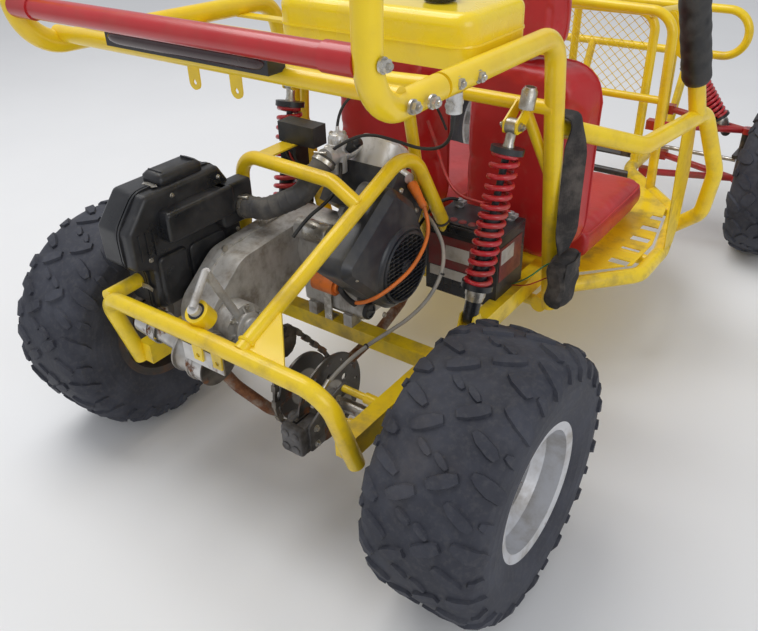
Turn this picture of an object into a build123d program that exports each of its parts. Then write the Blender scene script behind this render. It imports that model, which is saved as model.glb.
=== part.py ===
from build123d import *
from math import cos, radians, sin, tan
import os

# Two-seat off-road kart: tube frame with roll cage, swing arm with a scooter engine, four lugged tyres.
# Millimetres. X is the kart's right, Y is forward, Z is up and the ground is at 0.
# Lengths along Y are given from the rear axle, and place() moves them to the frame of the whole kart.
os.makedirs("parts", exist_ok=True)

# Wheels and axles
wheelbase = 1800
rear_half_track = 515
front_half_track = 615
rear_tyre_radius = 280
rear_tyre_width = 250
front_tyre_radius = 267
front_tyre_width = 178
lug_height = 8
rim_radius = 127
rim_flange_height = 15
axle_radius = 15
spindle_radius = 12

# Tubes
main_tube = 42
brace_tube = 30
thin_tube = 24
arm_tube = 24
bar_height = 50
bar_width = 38
cross_bar = 38
plate_thickness = 4

# Clearances
seat_gap = 0.3
running_gap = 0.05

# Frame corners, measured from the rear axle
top_rail_half_width = 378
top_rail_height = 985
floor_height = 285
upright_top_y = 455
upright_foot_y = 600
upright_foot_x = 355
cage_joint_y = 10
cage_leg_y = -182
cage_leg_x = 402
roof_height = 1485
roof_rear_y = 70
roof_front_y = 735
pillar_foot = (517, 1020, 690)
bumper_y = wheelbase + 275
bumper_half_width = 380
bumper_top_z = 735
bumper_low_z = 575

# Swing arm
arm_rail_x = 285
arm_rail_z = 325
arm_front_y = 690
arm_rear_y = -150
mid_bar_y = 205
front_bar_y = 560
hoop_tube = 36
hoop_foot = (312, -146, 300)
hoop_bend = (302, -208, 500)

# Engine: crankshaft and final drive centres, seen from the side
crank_y = 265
crank_z = 485
drive_y = -42
drive_z = 418
cylinder_angle = 52

rear_axle_z = rear_tyre_radius
front_axle_z = front_tyre_radius
front_reach = bumper_y + main_tube / 2
rear_axle_y = -(front_reach - rear_tyre_radius) / 2


def place(x, y, z):
    """A point given from the rear axle, in the kart's own frame."""
    return (x, y + rear_axle_y, z)


def tube(points, diameter, bends=()):
    """A round bar along straight runs, joined by bends of the radii given."""
    route = [place(*point) for point in points]
    with BuildLine() as run:
        if bends:
            FilletPolyline(*route, radius=list(bends))
        else:
            Line(route[0], route[1])
    start = run.line @ 0
    heading = run.line % 0
    with BuildSketch(Plane(origin=start, z_dir=heading)) as section:
        Circle(diameter / 2)
    sweep(section.sketch, path=run.line)


def rod(start, end, radius, mode=Mode.ADD):
    """A straight cylinder between two points."""
    tail = Vector(*place(*start))
    reach = Vector(*place(*end)) - tail
    with BuildSketch(Plane(origin=tail, z_dir=reach)) as section:
        Circle(radius)
    extrude(section.sketch, amount=reach.length, mode=mode)


def block(low, high, mode=Mode.ADD):
    """An upright box between two corners."""
    size = [b - a for a, b in zip(low, high)]
    middle = [(a + b) / 2 for a, b in zip(low, high)]
    with Locations(place(*middle)):
        Box(*size, mode=mode)


def plate(plane, outline, thickness, mode=Mode.ADD):
    """A flat plate cut along straight edges."""
    with BuildSketch(plane) as section:
        with BuildLine():
            Polyline(*outline, close=True)
        make_face()
    extrude(section.sketch, amount=thickness, mode=mode)


def cope(*neighbours):
    """Cut the tube ends to fit the pieces that they are welded to."""
    for neighbour in neighbours:
        add(neighbour.part, mode=Mode.SUBTRACT)


def finish(sub_part, name):
    """Name a finished piece and write it."""
    sub_part.part.label = name
    export_step(sub_part.part, f"parts/{name}.step")


def side_plane(x, y, z):
    """A sketch plane whose first axis is Y, second Z and normal +X."""
    return Plane(origin=place(x, y, z), x_dir=(0, 1, 0), z_dir=(1, 0, 0))


# Lower frame: side rails that swell out beside the seats, with cross tubes under the floor
rail_front_x = 190
rail_front_y = wheelbase + 190
sill_x = 488
sill_rear_y = 870
sill_front_y = 1030
foot_x = 440
foot_y = 1300
lower_rail_route = [
    (upright_foot_x - 25, upright_foot_y - 15, floor_height),
    (upright_foot_x - 20, 700, floor_height),
    (sill_x, sill_rear_y, floor_height),
    (sill_x + 2, sill_front_y, floor_height),
    (foot_x, foot_y, floor_height),
    (rail_front_x, wheelbase - 240, floor_height),
    (rail_front_x, rail_front_y, floor_height),
]
seat_bar_y = 960
leg_bar_y = foot_y
with BuildPart() as lower_frame:
    tube(lower_rail_route, main_tube, [60, 60, 120, 120, 120])
    for bar_y, bar_reach in [
        (upright_foot_y, 330),
        (seat_bar_y, sill_x),
        (leg_bar_y, foot_x),
        (wheelbase - 20, rail_front_x),
    ]:
        tube([(0, bar_y, floor_height), (bar_reach, bar_y, floor_height)], brace_tube)
    mirror(about=Plane.YZ)
finish(lower_frame, "lower_frame")

# Rear frame: top rails bent down into the uprights behind the seats, with cross tubes and shock ears
shock_top = (305, 428, 790)
shock_low = (285, 318, 372)
centre_bar_z = 823
rail_end_z = top_rail_height - 12
upright_lean = (upright_foot_y - upright_top_y) / (rail_end_z - floor_height)
centre_bar_y = upright_top_y + (rail_end_z - centre_bar_z) * upright_lean - 8
ear_gap = 24
shock_pin_radius = 6
tank_base_z = top_rail_height - 23
tank_bar_places = (222, 345)
light_bar_y = -108
light_bar_z = top_rail_height + 18
with BuildPart() as rear_frame:
    tube(
        [
            (top_rail_half_width + 6, cage_joint_y + 8, top_rail_height),
            (top_rail_half_width - 8, upright_top_y, rail_end_z),
            (upright_foot_x, upright_foot_y, floor_height),
        ],
        main_tube,
        [75],
    )
    tube([(0, light_bar_y, light_bar_z), (top_rail_half_width + 20, light_bar_y, light_bar_z)], brace_tube)
    tube([(0, 32, tank_base_z), (top_rail_half_width, 32, top_rail_height - 6)], brace_tube)
    tube(
        [(0, centre_bar_y, centre_bar_z), (top_rail_half_width - 8, centre_bar_y, centre_bar_z)],
        brace_tube,
    )
    tube([(shock_top[0], centre_bar_y, 815), (361, 528, 640)], thin_tube)
    tube([(0, centre_bar_y, centre_bar_z), (0, upright_foot_y, floor_height)], brace_tube)
    for ear_x in (shock_top[0] - ear_gap / 2 - plate_thickness, shock_top[0] + ear_gap / 2):
        with BuildSketch(side_plane(ear_x, shock_top[1], shock_top[2])):
            with BuildLine():
                Polyline((-16, -14), (16, -14), (56, 22), (40, 44), (-16, 12), close=True)
            make_face()
            fillet(vertices().group_by(Axis.Y)[0], 8)
        extrude(amount=plate_thickness)
    rod(
        (shock_top[0] - ear_gap / 2, shock_top[1], shock_top[2]),
        (shock_top[0] + ear_gap / 2, shock_top[1], shock_top[2]),
        shock_pin_radius,
    )
    for bar_y in tank_bar_places:
        block((0, bar_y - 14, tank_base_z - 6), (top_rail_half_width - 4, bar_y + 14, tank_base_z))
    mirror(about=Plane.YZ)
    cope(lower_frame)
finish(rear_frame, "rear_frame")

# Side bars: guard tubes beside the seats, curled down at the front onto the lower rail
with BuildPart() as side_bars:
    tube(
        [
            (362, 520, 772),
            (486, 735, 686),
            (pillar_foot[0] + 5, 1080, 676),
            (566, 1132, 505),
            (548, 1150, 372),
            (468, 1195, floor_height + 8),
        ],
        main_tube,
        [90, 45, 90, 60],
    )
    mirror(about=Plane.YZ)
    cope(lower_frame, rear_frame)
finish(side_bars, "side_bars")

# Roll cage: one bent tube on each side, from the bolted joint behind the seats over the roof to the sill
with BuildPart() as roll_cage:
    tube(
        [
            (top_rail_half_width + 6, cage_joint_y, top_rail_height),
            (cage_leg_x - 4, cage_leg_y, top_rail_height + 4),
            (cage_leg_x, cage_leg_y, 1240),
            (398, roof_rear_y, roof_height),
            (437, roof_front_y, roof_height),
            pillar_foot,
        ],
        main_tube,
        [85, 120, 150, 120],
    )
    for bar_y, bar_reach in [(roof_rear_y + 110, 402), (roof_front_y - 90, 430)]:
        tube([(0, bar_y, roof_height), (bar_reach, bar_y, roof_height)], brace_tube)
    mirror(about=Plane.YZ)
    cope(rear_frame, side_bars)
finish(roll_cage, "roll_cage")

# Red cross bar bolted between the two cage legs
red_bar_z = top_rail_height + 81
with BuildPart() as rear_cross_bar:
    rod((0, cage_leg_y, red_bar_z), (cage_leg_x - main_tube / 2 + 6, cage_leg_y, red_bar_z), 19)
    rod((330, cage_leg_y, red_bar_z), (cage_leg_x - main_tube / 2 + 6, cage_leg_y, red_bar_z), 21.5)
    mirror(about=Plane.YZ)
    cope(roll_cage)
finish(rear_cross_bar, "rear_cross_bar")

# Front frame: dash hoop, nose hoop with its shock towers, and the tubes that run out to the bumper
dash_y = wheelbase - 380
dash_low_z = 582
column_radius = 11
column_bearing_radius = 19
wheel_x = -205
wheel_y = 1110
wheel_z = 800
column_end_y = wheelbase - 300
column_end_z = 560
nose_y = wheelbase - 180
nose_x = 190
front_shock_top = (262, wheelbase - 40, 640)
front_post_y = wheelbase + 80
with BuildPart() as front_frame:
    tube([(318, dash_y, floor_height), (305, dash_y, 838), (0, dash_y, 845)], brace_tube, [70])
    tube([(nose_x, nose_y, floor_height), (nose_x, nose_y, 795), (0, nose_y, 795)], brace_tube, [60])
    tube(
        [(240, dash_y, 838), (nose_x - 12, nose_y, 790), (nose_x - 12, bumper_y, bumper_top_z)],
        brace_tube,
        [90],
    )
    tube(
        [(rail_front_x, rail_front_y - 40, floor_height), (rail_front_x, bumper_y, bumper_low_z)],
        brace_tube,
    )
    tube([(nose_x, front_post_y, floor_height), (nose_x - 6, front_post_y, 745)], brace_tube)
    for ear_y in (front_shock_top[1] - ear_gap / 2 - plate_thickness, front_shock_top[1] + ear_gap / 2):
        plate(
            Plane(origin=place(0, ear_y, 0), x_dir=(1, 0, 0), z_dir=(0, -1, 0)),
            [
                (nose_x - 10, 775),
                (nose_x + 20, 775),
                (288, 645),
                (268, 620),
                (236, 640),
                (nose_x - 10, 740),
            ],
            -plate_thickness,
        )
    rod(
        (front_shock_top[0], front_shock_top[1] - ear_gap / 2, front_shock_top[2]),
        (front_shock_top[0], front_shock_top[1] + ear_gap / 2, front_shock_top[2]),
        shock_pin_radius,
    )
    tube([(0, dash_y, dash_low_z), (312, dash_y, dash_low_z)], thin_tube)
    tube([(0, front_post_y, 738), (nose_x - 8, front_post_y, 738)], thin_tube)
    mirror(about=Plane.YZ)
    bearing = Vector(0, wheel_y - column_end_y, wheel_z - column_end_z).normalized() * 22
    bearing_z = column_end_z + (column_end_y - dash_y) * (wheel_z - column_end_z) / (column_end_y - wheel_y)
    bearing_ends = [
        (wheel_x, dash_y + way * bearing.Y, bearing_z + way * bearing.Z)
        for way in (-1, 1)
    ]
    rod(*bearing_ends, column_bearing_radius)
    rod(
        (wheel_x, wheel_y, wheel_z),
        (wheel_x, column_end_y, column_end_z),
        column_radius + running_gap,
        mode=Mode.SUBTRACT,
    )
    cope(lower_frame)
finish(front_frame, "front_frame")

# Front bumper: a racetrack loop of tube across the nose
with BuildPart() as front_bumper:
    tube(
        [
            (0, bumper_y, bumper_top_z),
            (bumper_half_width, bumper_y, bumper_top_z),
            (bumper_half_width, bumper_y, bumper_low_z),
            (0, bumper_y, bumper_low_z),
        ],
        brace_tube,
        [(bumper_top_z - bumper_low_z) / 2 - 1] * 2,
    )
    mirror(about=Plane.YZ)
    cope(front_frame)
finish(front_bumper, "front_bumper")

# Mesh guard in the nose hoop: a thin sheet, framed by the hoop's legs
with BuildPart() as mesh_guard:
    block((-nose_x, nose_y - 2, 520), (nose_x, nose_y + 2, 790))
    cope(front_frame)
finish(mesh_guard, "mesh_guard")

# Floor pan: folded sheet on the cross tubes, with a kick-up at the front
pan_thickness = 3
pan_z = floor_height + brace_tube / 2
cushion_base_z = 322
pan_edge = [
    (300, upright_foot_y + 15),
    (310, 720),
    (sill_x - 26, sill_rear_y + 10),
    (sill_x - 24, sill_front_y),
    (foot_x - 25, foot_y - 10),
    (270, foot_y + 140),
]
with BuildPart() as floor_pan:
    with BuildSketch(Plane.XY.offset(pan_z)):
        with BuildLine():
            Polyline(
                *[place(x, y, 0)[:2] for x, y in pan_edge],
                *[place(-x, y, 0)[:2] for x, y in reversed(pan_edge)],
                close=True,
            )
        make_face()
    extrude(amount=pan_thickness)
    for side in (1, -1):
        for slot_y in (880, 960, 1040, 1120, 1200):
            with Locations(place(side * (sill_x - 63), slot_y, pan_z + pan_thickness / 2)):
                Box(52, 30, pan_thickness, mode=Mode.SUBTRACT)
        for runner_x in (95, 315):
            block(
                (side * runner_x - 12, 800, pan_z + pan_thickness),
                (side * runner_x + 12, 1180, cushion_base_z - seat_gap),
            )
    cope(lower_frame, rear_frame, side_bars, front_frame)
finish(floor_pan, "floor_pan")

# Side panels: flat guards inside the curl of the side bars
with BuildPart() as side_panels:
    with BuildSketch(side_plane(500, 0, 0)):
        with BuildLine():
            Polyline(
                (975, 672),
                (1085, 668),
                (1120, 500),
                (1108, 340),
                (1085, 294),
                (1015, 294),
                close=True,
            )
        make_face()
    extrude(amount=pan_thickness)
    mirror(about=Plane.YZ)
    cope(lower_frame, side_bars, roll_cage)
finish(side_panels, "side_panels")

# Swing arm: rectangular rails and cross bars, with the axle's bearing housings below the rails
caliper_plate_x = 160
caliper_plate = 6
caliper_holders = [(2, 322), (-58, 296)]
housing_radius = 42
housing_width = 34
rail_half = bar_width / 2
with BuildPart() as swing_arm:
    block(
        (arm_rail_x - rail_half, arm_rear_y, arm_rail_z - bar_height / 2),
        (arm_rail_x + rail_half, arm_front_y, arm_rail_z + bar_height / 2),
    )
    for bar_y in (mid_bar_y, front_bar_y):
        block(
            (0, bar_y - cross_bar / 2, arm_rail_z - 35),
            (arm_rail_x, bar_y + cross_bar / 2, arm_rail_z + 3),
        )
    rod(
        (arm_rail_x - housing_width / 2, 0, rear_axle_z),
        (arm_rail_x + housing_width / 2, 0, rear_axle_z),
        housing_radius,
    )
    for tongue_x in (arm_rail_x - rail_half, arm_rail_x + rail_half - plate_thickness):
        with BuildSketch(side_plane(tongue_x, shock_low[1], shock_low[2])):
            with BuildLine():
                Polyline((-14, 12), (14, 12), (26, -22), (-26, -22), close=True)
            make_face()
        extrude(amount=plate_thickness)
    mirror(about=Plane.YZ)
    for holder_y, holder_z in caliper_holders:
        rod(
            (caliper_plate_x + caliper_plate, holder_y, holder_z),
            (arm_rail_x - rail_half, holder_y, holder_z),
            8,
        )
        rod((225, holder_y, holder_z), (arm_rail_x - rail_half, holder_y, holder_z), 12)
    rod((-400, 0, rear_axle_z), (400, 0, rear_axle_z), axle_radius + running_gap, mode=Mode.SUBTRACT)
    cope(lower_frame, floor_pan, rear_frame)
finish(swing_arm, "swing_arm")

# Rear hoop of the swing arm, with two tabs for the muffler, a saddle for the engine's rear bush and a stub
arch_x = 118
air_box_rear_y = -120
muffler_tabs = (-20, 33)
muffler_tab_z = 446
saddle_x = -28
saddle_y = -179
saddle_z = 531
saddle_bore = 18
with BuildPart() as swing_arm_hoop:
    tube([hoop_foot, hoop_bend, (0, hoop_bend[1], hoop_bend[2] + 4)], hoop_tube, [62])
    mirror(about=Plane.YZ)
    tube(
        [
            (-hoop_bend[0] + 14, hoop_bend[1], hoop_bend[2]),
            (-hoop_bend[0] + 8, air_box_rear_y, hoop_bend[2] - 2),
        ],
        hoop_tube - 4,
    )
    for tab_x in muffler_tabs:
        plate(
            Plane(origin=place(tab_x, hoop_bend[1] + 2, 0), x_dir=(1, 0, 0), z_dir=(0, -1, 0)),
            [(-15, hoop_bend[2]), (15, hoop_bend[2]), (12, muffler_tab_z), (-12, muffler_tab_z)],
            plate_thickness,
        )
        with BuildSketch(
            Plane(origin=place(tab_x, hoop_bend[1] + 2, muffler_tab_z + 12), z_dir=(0, -1, 0))
        ) as hole:
            Circle(5)
        extrude(hole.sketch, amount=plate_thickness, mode=Mode.SUBTRACT)
    saddle_turn = 34
    saddle_axis = Vector(0, -sin(radians(saddle_turn)), cos(radians(saddle_turn)))
    saddle_ends = [
        (saddle_x, saddle_y + way * saddle_axis.Y, saddle_z + way * saddle_axis.Z)
        for way in (-18, 18)
    ]
    rod(*saddle_ends, 25)
    rod(*saddle_ends, saddle_bore, mode=Mode.SUBTRACT)
    cope(swing_arm)
finish(swing_arm_hoop, "swing_arm_hoop")

# Engine arch: a tube from the hoop over the engine, with a branch across to the left rail
box_row_y = 300
with BuildPart() as engine_arch:
    tube(
        [
            (arch_x - 20, hoop_bend[1] + 5, hoop_bend[2] + 10),
            (arch_x, 325, 742),
            (arch_x + 18, front_bar_y, arm_rail_z - 5),
        ],
        hoop_tube - 4,
        [85],
    )
    tube(
        [
            (arch_x - 6, 150, 668),
            (30, 165, 700),
            (-240, 175, 702),
            (-arm_rail_x, 185, arm_rail_z + 10),
        ],
        hoop_tube - 4,
        [60, 60],
    )
    slope = Vector(0, 528, 236).normalized()
    plate(
        Plane(
            origin=place(0, hoop_bend[1], hoop_bend[2] + 4),
            x_dir=(1, 0, 0),
            z_dir=Vector(1, 0, 0).cross(slope),
        ),
        [(arch_x - 24, 0), (arch_x + 96, 0), (arch_x + 4, 108), (arch_x - 10, 108)],
        6,
    )
    block((-232, 184, 690), (-188, box_row_y + 42, 694))
    cope(swing_arm, swing_arm_hoop)
finish(engine_arch, "engine_arch")

# Engine: crankcase, finned cylinder sloping up and forward, gear housing and output shaft at the rear
crank_radius = 76
barrel_radius = 50
barrel_start = 60
head_start = 190
head_end = 262
cylinder_x = -20
sump_base_z = 340
starter_y = 200
starter_z = 545
case_inner_x = -106
case_outer_x = -215
sprocket_x = 52
output_shaft_radius = 11


def on_cylinder(x, along, across=0):
    """A point given along the cylinder from the crankshaft, and across it towards the front."""
    turn = radians(cylinder_angle)
    return (
        x,
        crank_y + along * cos(turn) + across * sin(turn),
        crank_z + along * sin(turn) - across * cos(turn),
    )


with BuildPart() as engine_block:
    rod((case_inner_x, crank_y, crank_z), (62, crank_y, crank_z), crank_radius)
    with BuildSketch(side_plane(case_inner_x + 8, 0, 0)) as sump:
        with BuildLine():
            Polyline(
                (crank_y - 74, crank_z - 10),
                (crank_y - 70, sump_base_z + 22),
                (crank_y - 50, sump_base_z),
                (crank_y + 52, sump_base_z),
                (crank_y + 74, crank_z - 40),
                close=True,
            )
        make_face()
    extrude(sump.sketch, amount=158)
    rod((40, crank_y - 62, sump_base_z + 40), (84, crank_y - 62, sump_base_z + 40), 19)
    rod((-104, starter_y, starter_z), (-12, starter_y, starter_z), 25)
    rod((-12, starter_y, starter_z), (-2, starter_y, starter_z), 16)
    rod(on_cylinder(cylinder_x, barrel_start), on_cylinder(cylinder_x, head_start), barrel_radius)
    for fin in range(7):
        fin_place = 100 + fin * 13
        rod(on_cylinder(cylinder_x, fin_place), on_cylinder(cylinder_x, fin_place + 4), barrel_radius + 14)
    rod((case_inner_x, drive_y, drive_z), (-62, drive_y, drive_z), 52)
    rod((-62, drive_y, drive_z), (-52, drive_y, drive_z), 34)
    rod((-52, drive_y, drive_z), (sprocket_x - 8, drive_y, drive_z), output_shaft_radius)
    for lug_x in (-84, 22):
        block(
            (lug_x, mid_bar_y - cross_bar / 2, arm_rail_z + 3),
            (lug_x + 24, mid_bar_y + cross_bar / 2, sump_base_z + 20),
        )
    arm_end = Vector(*saddle_ends[1]) + saddle_axis * 12
    arm_elbow = (saddle_x - 22, saddle_y + 45, saddle_z + 69)
    rod(saddle_ends[1], tuple(arm_end), 13)
    rod(arm_elbow, tuple(arm_end), 8)
    rod(arm_elbow, (saddle_x - 38, drive_y - 18, drive_z + 42), 9)
    cope(swing_arm, swing_arm_hoop)
finish(engine_block, "engine_block")

plug_place = (98, 352, 655)

# Head with its silver cover, chamfered round the edge, and the spark plug boss on the right
with BuildPart() as cylinder_head:
    rod(on_cylinder(cylinder_x, head_start), on_cylinder(cylinder_x, head_end), 66)
    chamfer(edges().filter_by(GeomType.CIRCLE).sort_by(Axis.Z)[-1], 10)
    rod(on_cylinder(cylinder_x, 222), plug_place, 12)
finish(cylinder_head, "cylinder_head")

# Belt case: long housing on the engine's left, with a raised rim and ribs on its outer cover
case_circles = [((crank_y, crank_z), 76), ((40, 474), 72), ((drive_y + 10, drive_z + 8), 66)]
rib_count = 5
with BuildPart() as belt_case:
    with BuildSketch(side_plane(case_outer_x, 0, 0)) as case_outline:
        for centre, radius in case_circles:
            with Locations(centre):
                Circle(radius)
        make_hull()
    extrude(case_outline.sketch, amount=case_inner_x - case_outer_x)
    chamfer(faces().sort_by(Axis.X)[0].edges(), 14)
    with BuildSketch(side_plane(case_outer_x + 40, 0, 0)) as seam:
        for centre, radius in case_circles:
            with Locations(centre):
                Circle(radius + 5)
        make_hull()
    extrude(seam.sketch, amount=12)
    for rib in range(rib_count):
        rib_y = 50 + rib * 26
        block((case_outer_x - 5, rib_y, 415), (case_outer_x + 1, rib_y + 9, 515))
    rod((case_outer_x - 14, crank_y, crank_z), (case_outer_x, crank_y, crank_z), 44)
    cope(engine_block)
finish(belt_case, "belt_case")

# Rear bush of the engine: rubber in the hoop's saddle, on an arm from the gear housing
with BuildPart() as rear_bush:
    rod(*saddle_ends, saddle_bore)
    rod(*saddle_ends, 6, mode=Mode.SUBTRACT)
finish(rear_bush, "rear_bush")

# Fan shroud on the engine's right: scroll cover with its slatted intake, and the duct round the cylinder
shroud_inner_x = 56
shroud_face_x = 142
cover_radius = 102
fan_radius = 76
slat_count = 8
duct_half = 76
scroll_corners = [(236, 648), (298, 596), (92, 556)]
with BuildPart() as fan_shroud:
    with BuildSketch(side_plane(shroud_inner_x, 0, 0)) as cover:
        with Locations((crank_y, crank_z)):
            Circle(cover_radius)
        with Locations(*scroll_corners):
            Circle(30)
        make_hull()
    extrude(cover.sketch, amount=shroud_face_x - shroud_inner_x)
    chamfer(faces().sort_by(Axis.X)[-1].edges(), 16)
    with BuildSketch(side_plane(case_inner_x + 18, 0, 0)) as duct:
        with BuildLine():
            corners = [(84, -duct_half), (188, -duct_half), (188, duct_half), (84, duct_half)]
            Polyline(*[on_cylinder(0, along, across)[1:] for along, across in corners], close=True)
        make_face()
    extrude(duct.sketch, amount=92 - case_inner_x - 18)
    rod((shroud_face_x - 20, crank_y, crank_z), (shroud_face_x + 6, crank_y, crank_z), fan_radius + 5)
    rod(
        (shroud_face_x - 30, crank_y, crank_z),
        (shroud_face_x + 6, crank_y, crank_z),
        fan_radius,
        mode=Mode.SUBTRACT,
    )
    with BuildSketch(side_plane(shroud_face_x - 6, crank_y, crank_z)) as slats:
        with GridLocations(18, 0, slat_count, 1):
            Rectangle(6, 2 * fan_radius)
        Circle(fan_radius + 1, mode=Mode.INTERSECT)
    extrude(slats.sketch, amount=10)
    cope(engine_block, cylinder_head, engine_arch)
finish(fan_shroud, "fan_shroud")

# Carburettor between the intake hose and the head, with its float bowl and domed slide cap
carb_x = -52
carb_z = 706
with BuildPart() as carburettor:
    rod((carb_x, 244, carb_z), (carb_x, 334, carb_z - 4), 22)
    rod((carb_x, 284, carb_z - 42), (carb_x, 284, carb_z), 23)
    rod((carb_x, 292, carb_z), (carb_x, 292, carb_z + 42), 21)
    chamfer(edges().filter_by(GeomType.CIRCLE).sort_by(Axis.Z)[-1], 8)
    tube(
        [(carb_x, 328, carb_z - 4), (carb_x + 8, 364, carb_z - 6), on_cylinder(cylinder_x, 236, -20)],
        30,
        [20],
    )
    cope(cylinder_head, fan_shroud)
finish(carburettor, "carburettor")

# Air box over the left rail: stepped moulding, with a second chamber on its right
with BuildPart() as air_box:
    with BuildSketch(side_plane(-332, 0, 0)) as moulding:
        with BuildLine():
            Polyline(
                (-120, 440),
                (-120, 540),
                (-168, 556),
                (-168, 640),
                (-112, 704),
                (92, 704),
                (132, 640),
                (140, 480),
                (100, 440),
                close=True,
            )
        make_face()
        fillet(moulding.vertices(), 14)
    extrude(moulding.sketch, amount=104)
    chamfer(faces().sort_by(Axis.X)[0].edges(), 8)
    block((-228, -90, 596), (-196, 100, 664))
    block((-228, 60, 568), (-200, 158, 664))
    block((-300, -60, 700), (-240, 60, 728))
    cope(engine_arch, swing_arm_hoop)
finish(air_box, "air_box")

# Intake hose from the air box to the carburettor
hose_diameter = 50
with BuildPart() as intake_hose:
    tube(
        [(-201, 126, 602), (-140, 130, 606), (-66, 176, 640), (carb_x, 246, carb_z)],
        hose_diameter,
        [55, 60],
    )
    cope(air_box, carburettor, engine_arch)
finish(intake_hose, "intake_hose")

# Muffler under the hoop: can with its end band, cone and tail pipe, hung from a strap on the tabs
muffler_right = (-30, -155, 403)
muffler_left = (-250, -155, 432)
with BuildPart() as muffler:
    can_start = Vector(*place(*muffler_right))
    can_axis = Vector(*place(*muffler_left)) - can_start
    can_length = can_axis.length
    can_plane = Plane(origin=can_start, x_dir=can_axis, z_dir=(0, 1, 0))
    with BuildSketch(can_plane) as can:
        with BuildLine():
            Polyline(
                (0, 0),
                (0, 50),
                (26, 50),
                (26, 53),
                (36, 53),
                (36, 50),
                (78, 50),
                (104, 25),
                (can_length - 36, 25),
                (can_length - 36, 30),
                (can_length, 30),
                (can_length, 22),
                (can_length - 70, 22),
                (can_length - 70, 0),
                close=True,
            )
        make_face()
    revolve(can.sketch, axis=Axis(can_start, can_axis))
    block(
        (-66, hoop_bend[1] + 2, muffler_tab_z - 14),
        (muffler_tabs[1] + 12, hoop_bend[1] + 6, muffler_tab_z + 26),
    )
    cope(swing_arm_hoop)
finish(muffler, "muffler")

# Header pipe from the head, down in front of the engine and back under the axle to the muffler
with BuildPart() as header_pipe:
    tube(
        [
            on_cylinder(cylinder_x, 222, 60),
            (cylinder_x, 520, 540),
            (cylinder_x + 14, 500, 410),
            (cylinder_x + 26, 470, 262),
            (30, 300, 240),
            (30, 120, 222),
            (14, -44, 205),
            (-62, -92, 290),
            (-84, -128, 372),
        ],
        26,
        [45, 120, 62, 200, 200, 60, 60],
    )
    cope(muffler, cylinder_head)
finish(header_pipe, "header_pipe")

# Drive chain round both sprockets: a loop of inner links, and the wider outer links on it
sprocket_radius = 80
output_sprocket_radius = 30
chain_gap = 5
chain_height = 9
link_count = 18
with BuildPart() as drive_chain:
    with BuildSketch(side_plane(sprocket_x - 3, 0, 0)) as loop_outer:
        with Locations((0, rear_axle_z)):
            RegularPolygon(sprocket_radius + chain_gap + chain_height, link_count, major_radius=False)
        with Locations((drive_y, drive_z)):
            RegularPolygon(output_sprocket_radius + chain_height, 12, major_radius=False)
        make_hull()
    extrude(loop_outer.sketch, amount=6)
    with BuildSketch(side_plane(sprocket_x - 3, 0, 0)) as loop_inner:
        with Locations((0, rear_axle_z)):
            RegularPolygon(sprocket_radius + chain_gap, link_count, major_radius=False)
        with Locations((drive_y, drive_z)):
            RegularPolygon(output_sprocket_radius, 12, major_radius=False)
        make_hull()
    extrude(loop_inner.sketch, amount=6, mode=Mode.SUBTRACT)
    with BuildSketch(side_plane(0, 0, 0)) as link_line:
        with Locations((0, rear_axle_z)):
            Circle(sprocket_radius + chain_gap + chain_height / 2)
        with Locations((drive_y, drive_z)):
            Circle(output_sprocket_radius + chain_height / 2)
        make_hull()
    link_path = link_line.sketch.faces()[0].outer_wire()
    for link in range(link_count):
        spot = link_path.position_at(link / link_count)
        heading = link_path.tangent_at(link / link_count)
        with Locations(Plane(origin=(sprocket_x, spot.Y, spot.Z), x_dir=heading, z_dir=(1, 0, 0))):
            Box(16, chain_height + 4, 12)
    for disc_width, reach in ((6, output_sprocket_radius + 3), (16, 18)):
        with BuildSketch(side_plane(sprocket_x - disc_width / 2, drive_y, drive_z)) as disc:
            RegularPolygon(reach, 12)
        extrude(disc.sketch, amount=disc_width)
    cope(engine_block)
finish(drive_chain, "drive_chain")

# Brake caliper over the disc's rear edge, on a plate at the ends of its two holders
disc_x = 128
disc_radius = 105
disc_gap = 5
with BuildPart() as brake_caliper:
    plate(
        side_plane(caliper_plate_x, 0, 0),
        [(14, 313), (14, 334), (-62, 318), (-112, 290), (-112, 226), (-66, 226), (-66, 282), (-48, 303)],
        caliper_plate,
    )
    for low_x, high_x in (
        (disc_x - disc_gap - 18, disc_x - disc_gap),
        (disc_x + disc_gap, caliper_plate_x),
    ):
        block((low_x, -128, 222), (high_x, -62, 292))
    block((disc_x - disc_gap - 18, -136, 222), (caliper_plate_x, -112, 292))
    for piston_z in (240, 274):
        rod((disc_x - disc_gap - 30, -86, piston_z), (disc_x - disc_gap - 18, -86, piston_z), 14)
    cope(swing_arm)
finish(brake_caliper, "brake_caliper")

# Battery on the front cross bar
with BuildPart() as battery:
    block((84, front_bar_y - 115, arm_rail_z + 3), (282, front_bar_y + 16, arm_rail_z + 190))
    cope(engine_arch, swing_arm)
finish(battery, "battery")

# Ignition coil behind the crankcase, on a strap that stands on the middle bar
coil_radius = 22
coil_y = 161
coil_z = 448
strap_y = mid_bar_y - cross_bar / 2
with BuildPart() as ignition_coil:
    rod((-30, coil_y, coil_z), (30, coil_y, coil_z), coil_radius)
    rod((30, coil_y, coil_z), (38, coil_y, coil_z), 15)
finish(ignition_coil, "ignition_coil")

with BuildPart() as coil_strap:
    block((-35, strap_y, arm_rail_z + 3), (-13, strap_y + 4, coil_z - 8))
    block((-35, coil_y + 14, coil_z - 12), (-13, strap_y, coil_z - 4))
    block((-35, strap_y, arm_rail_z + 3), (-13, strap_y + 26, arm_rail_z + 7))
    cope(ignition_coil, engine_block, swing_arm)
finish(coil_strap, "coil_strap")


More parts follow.
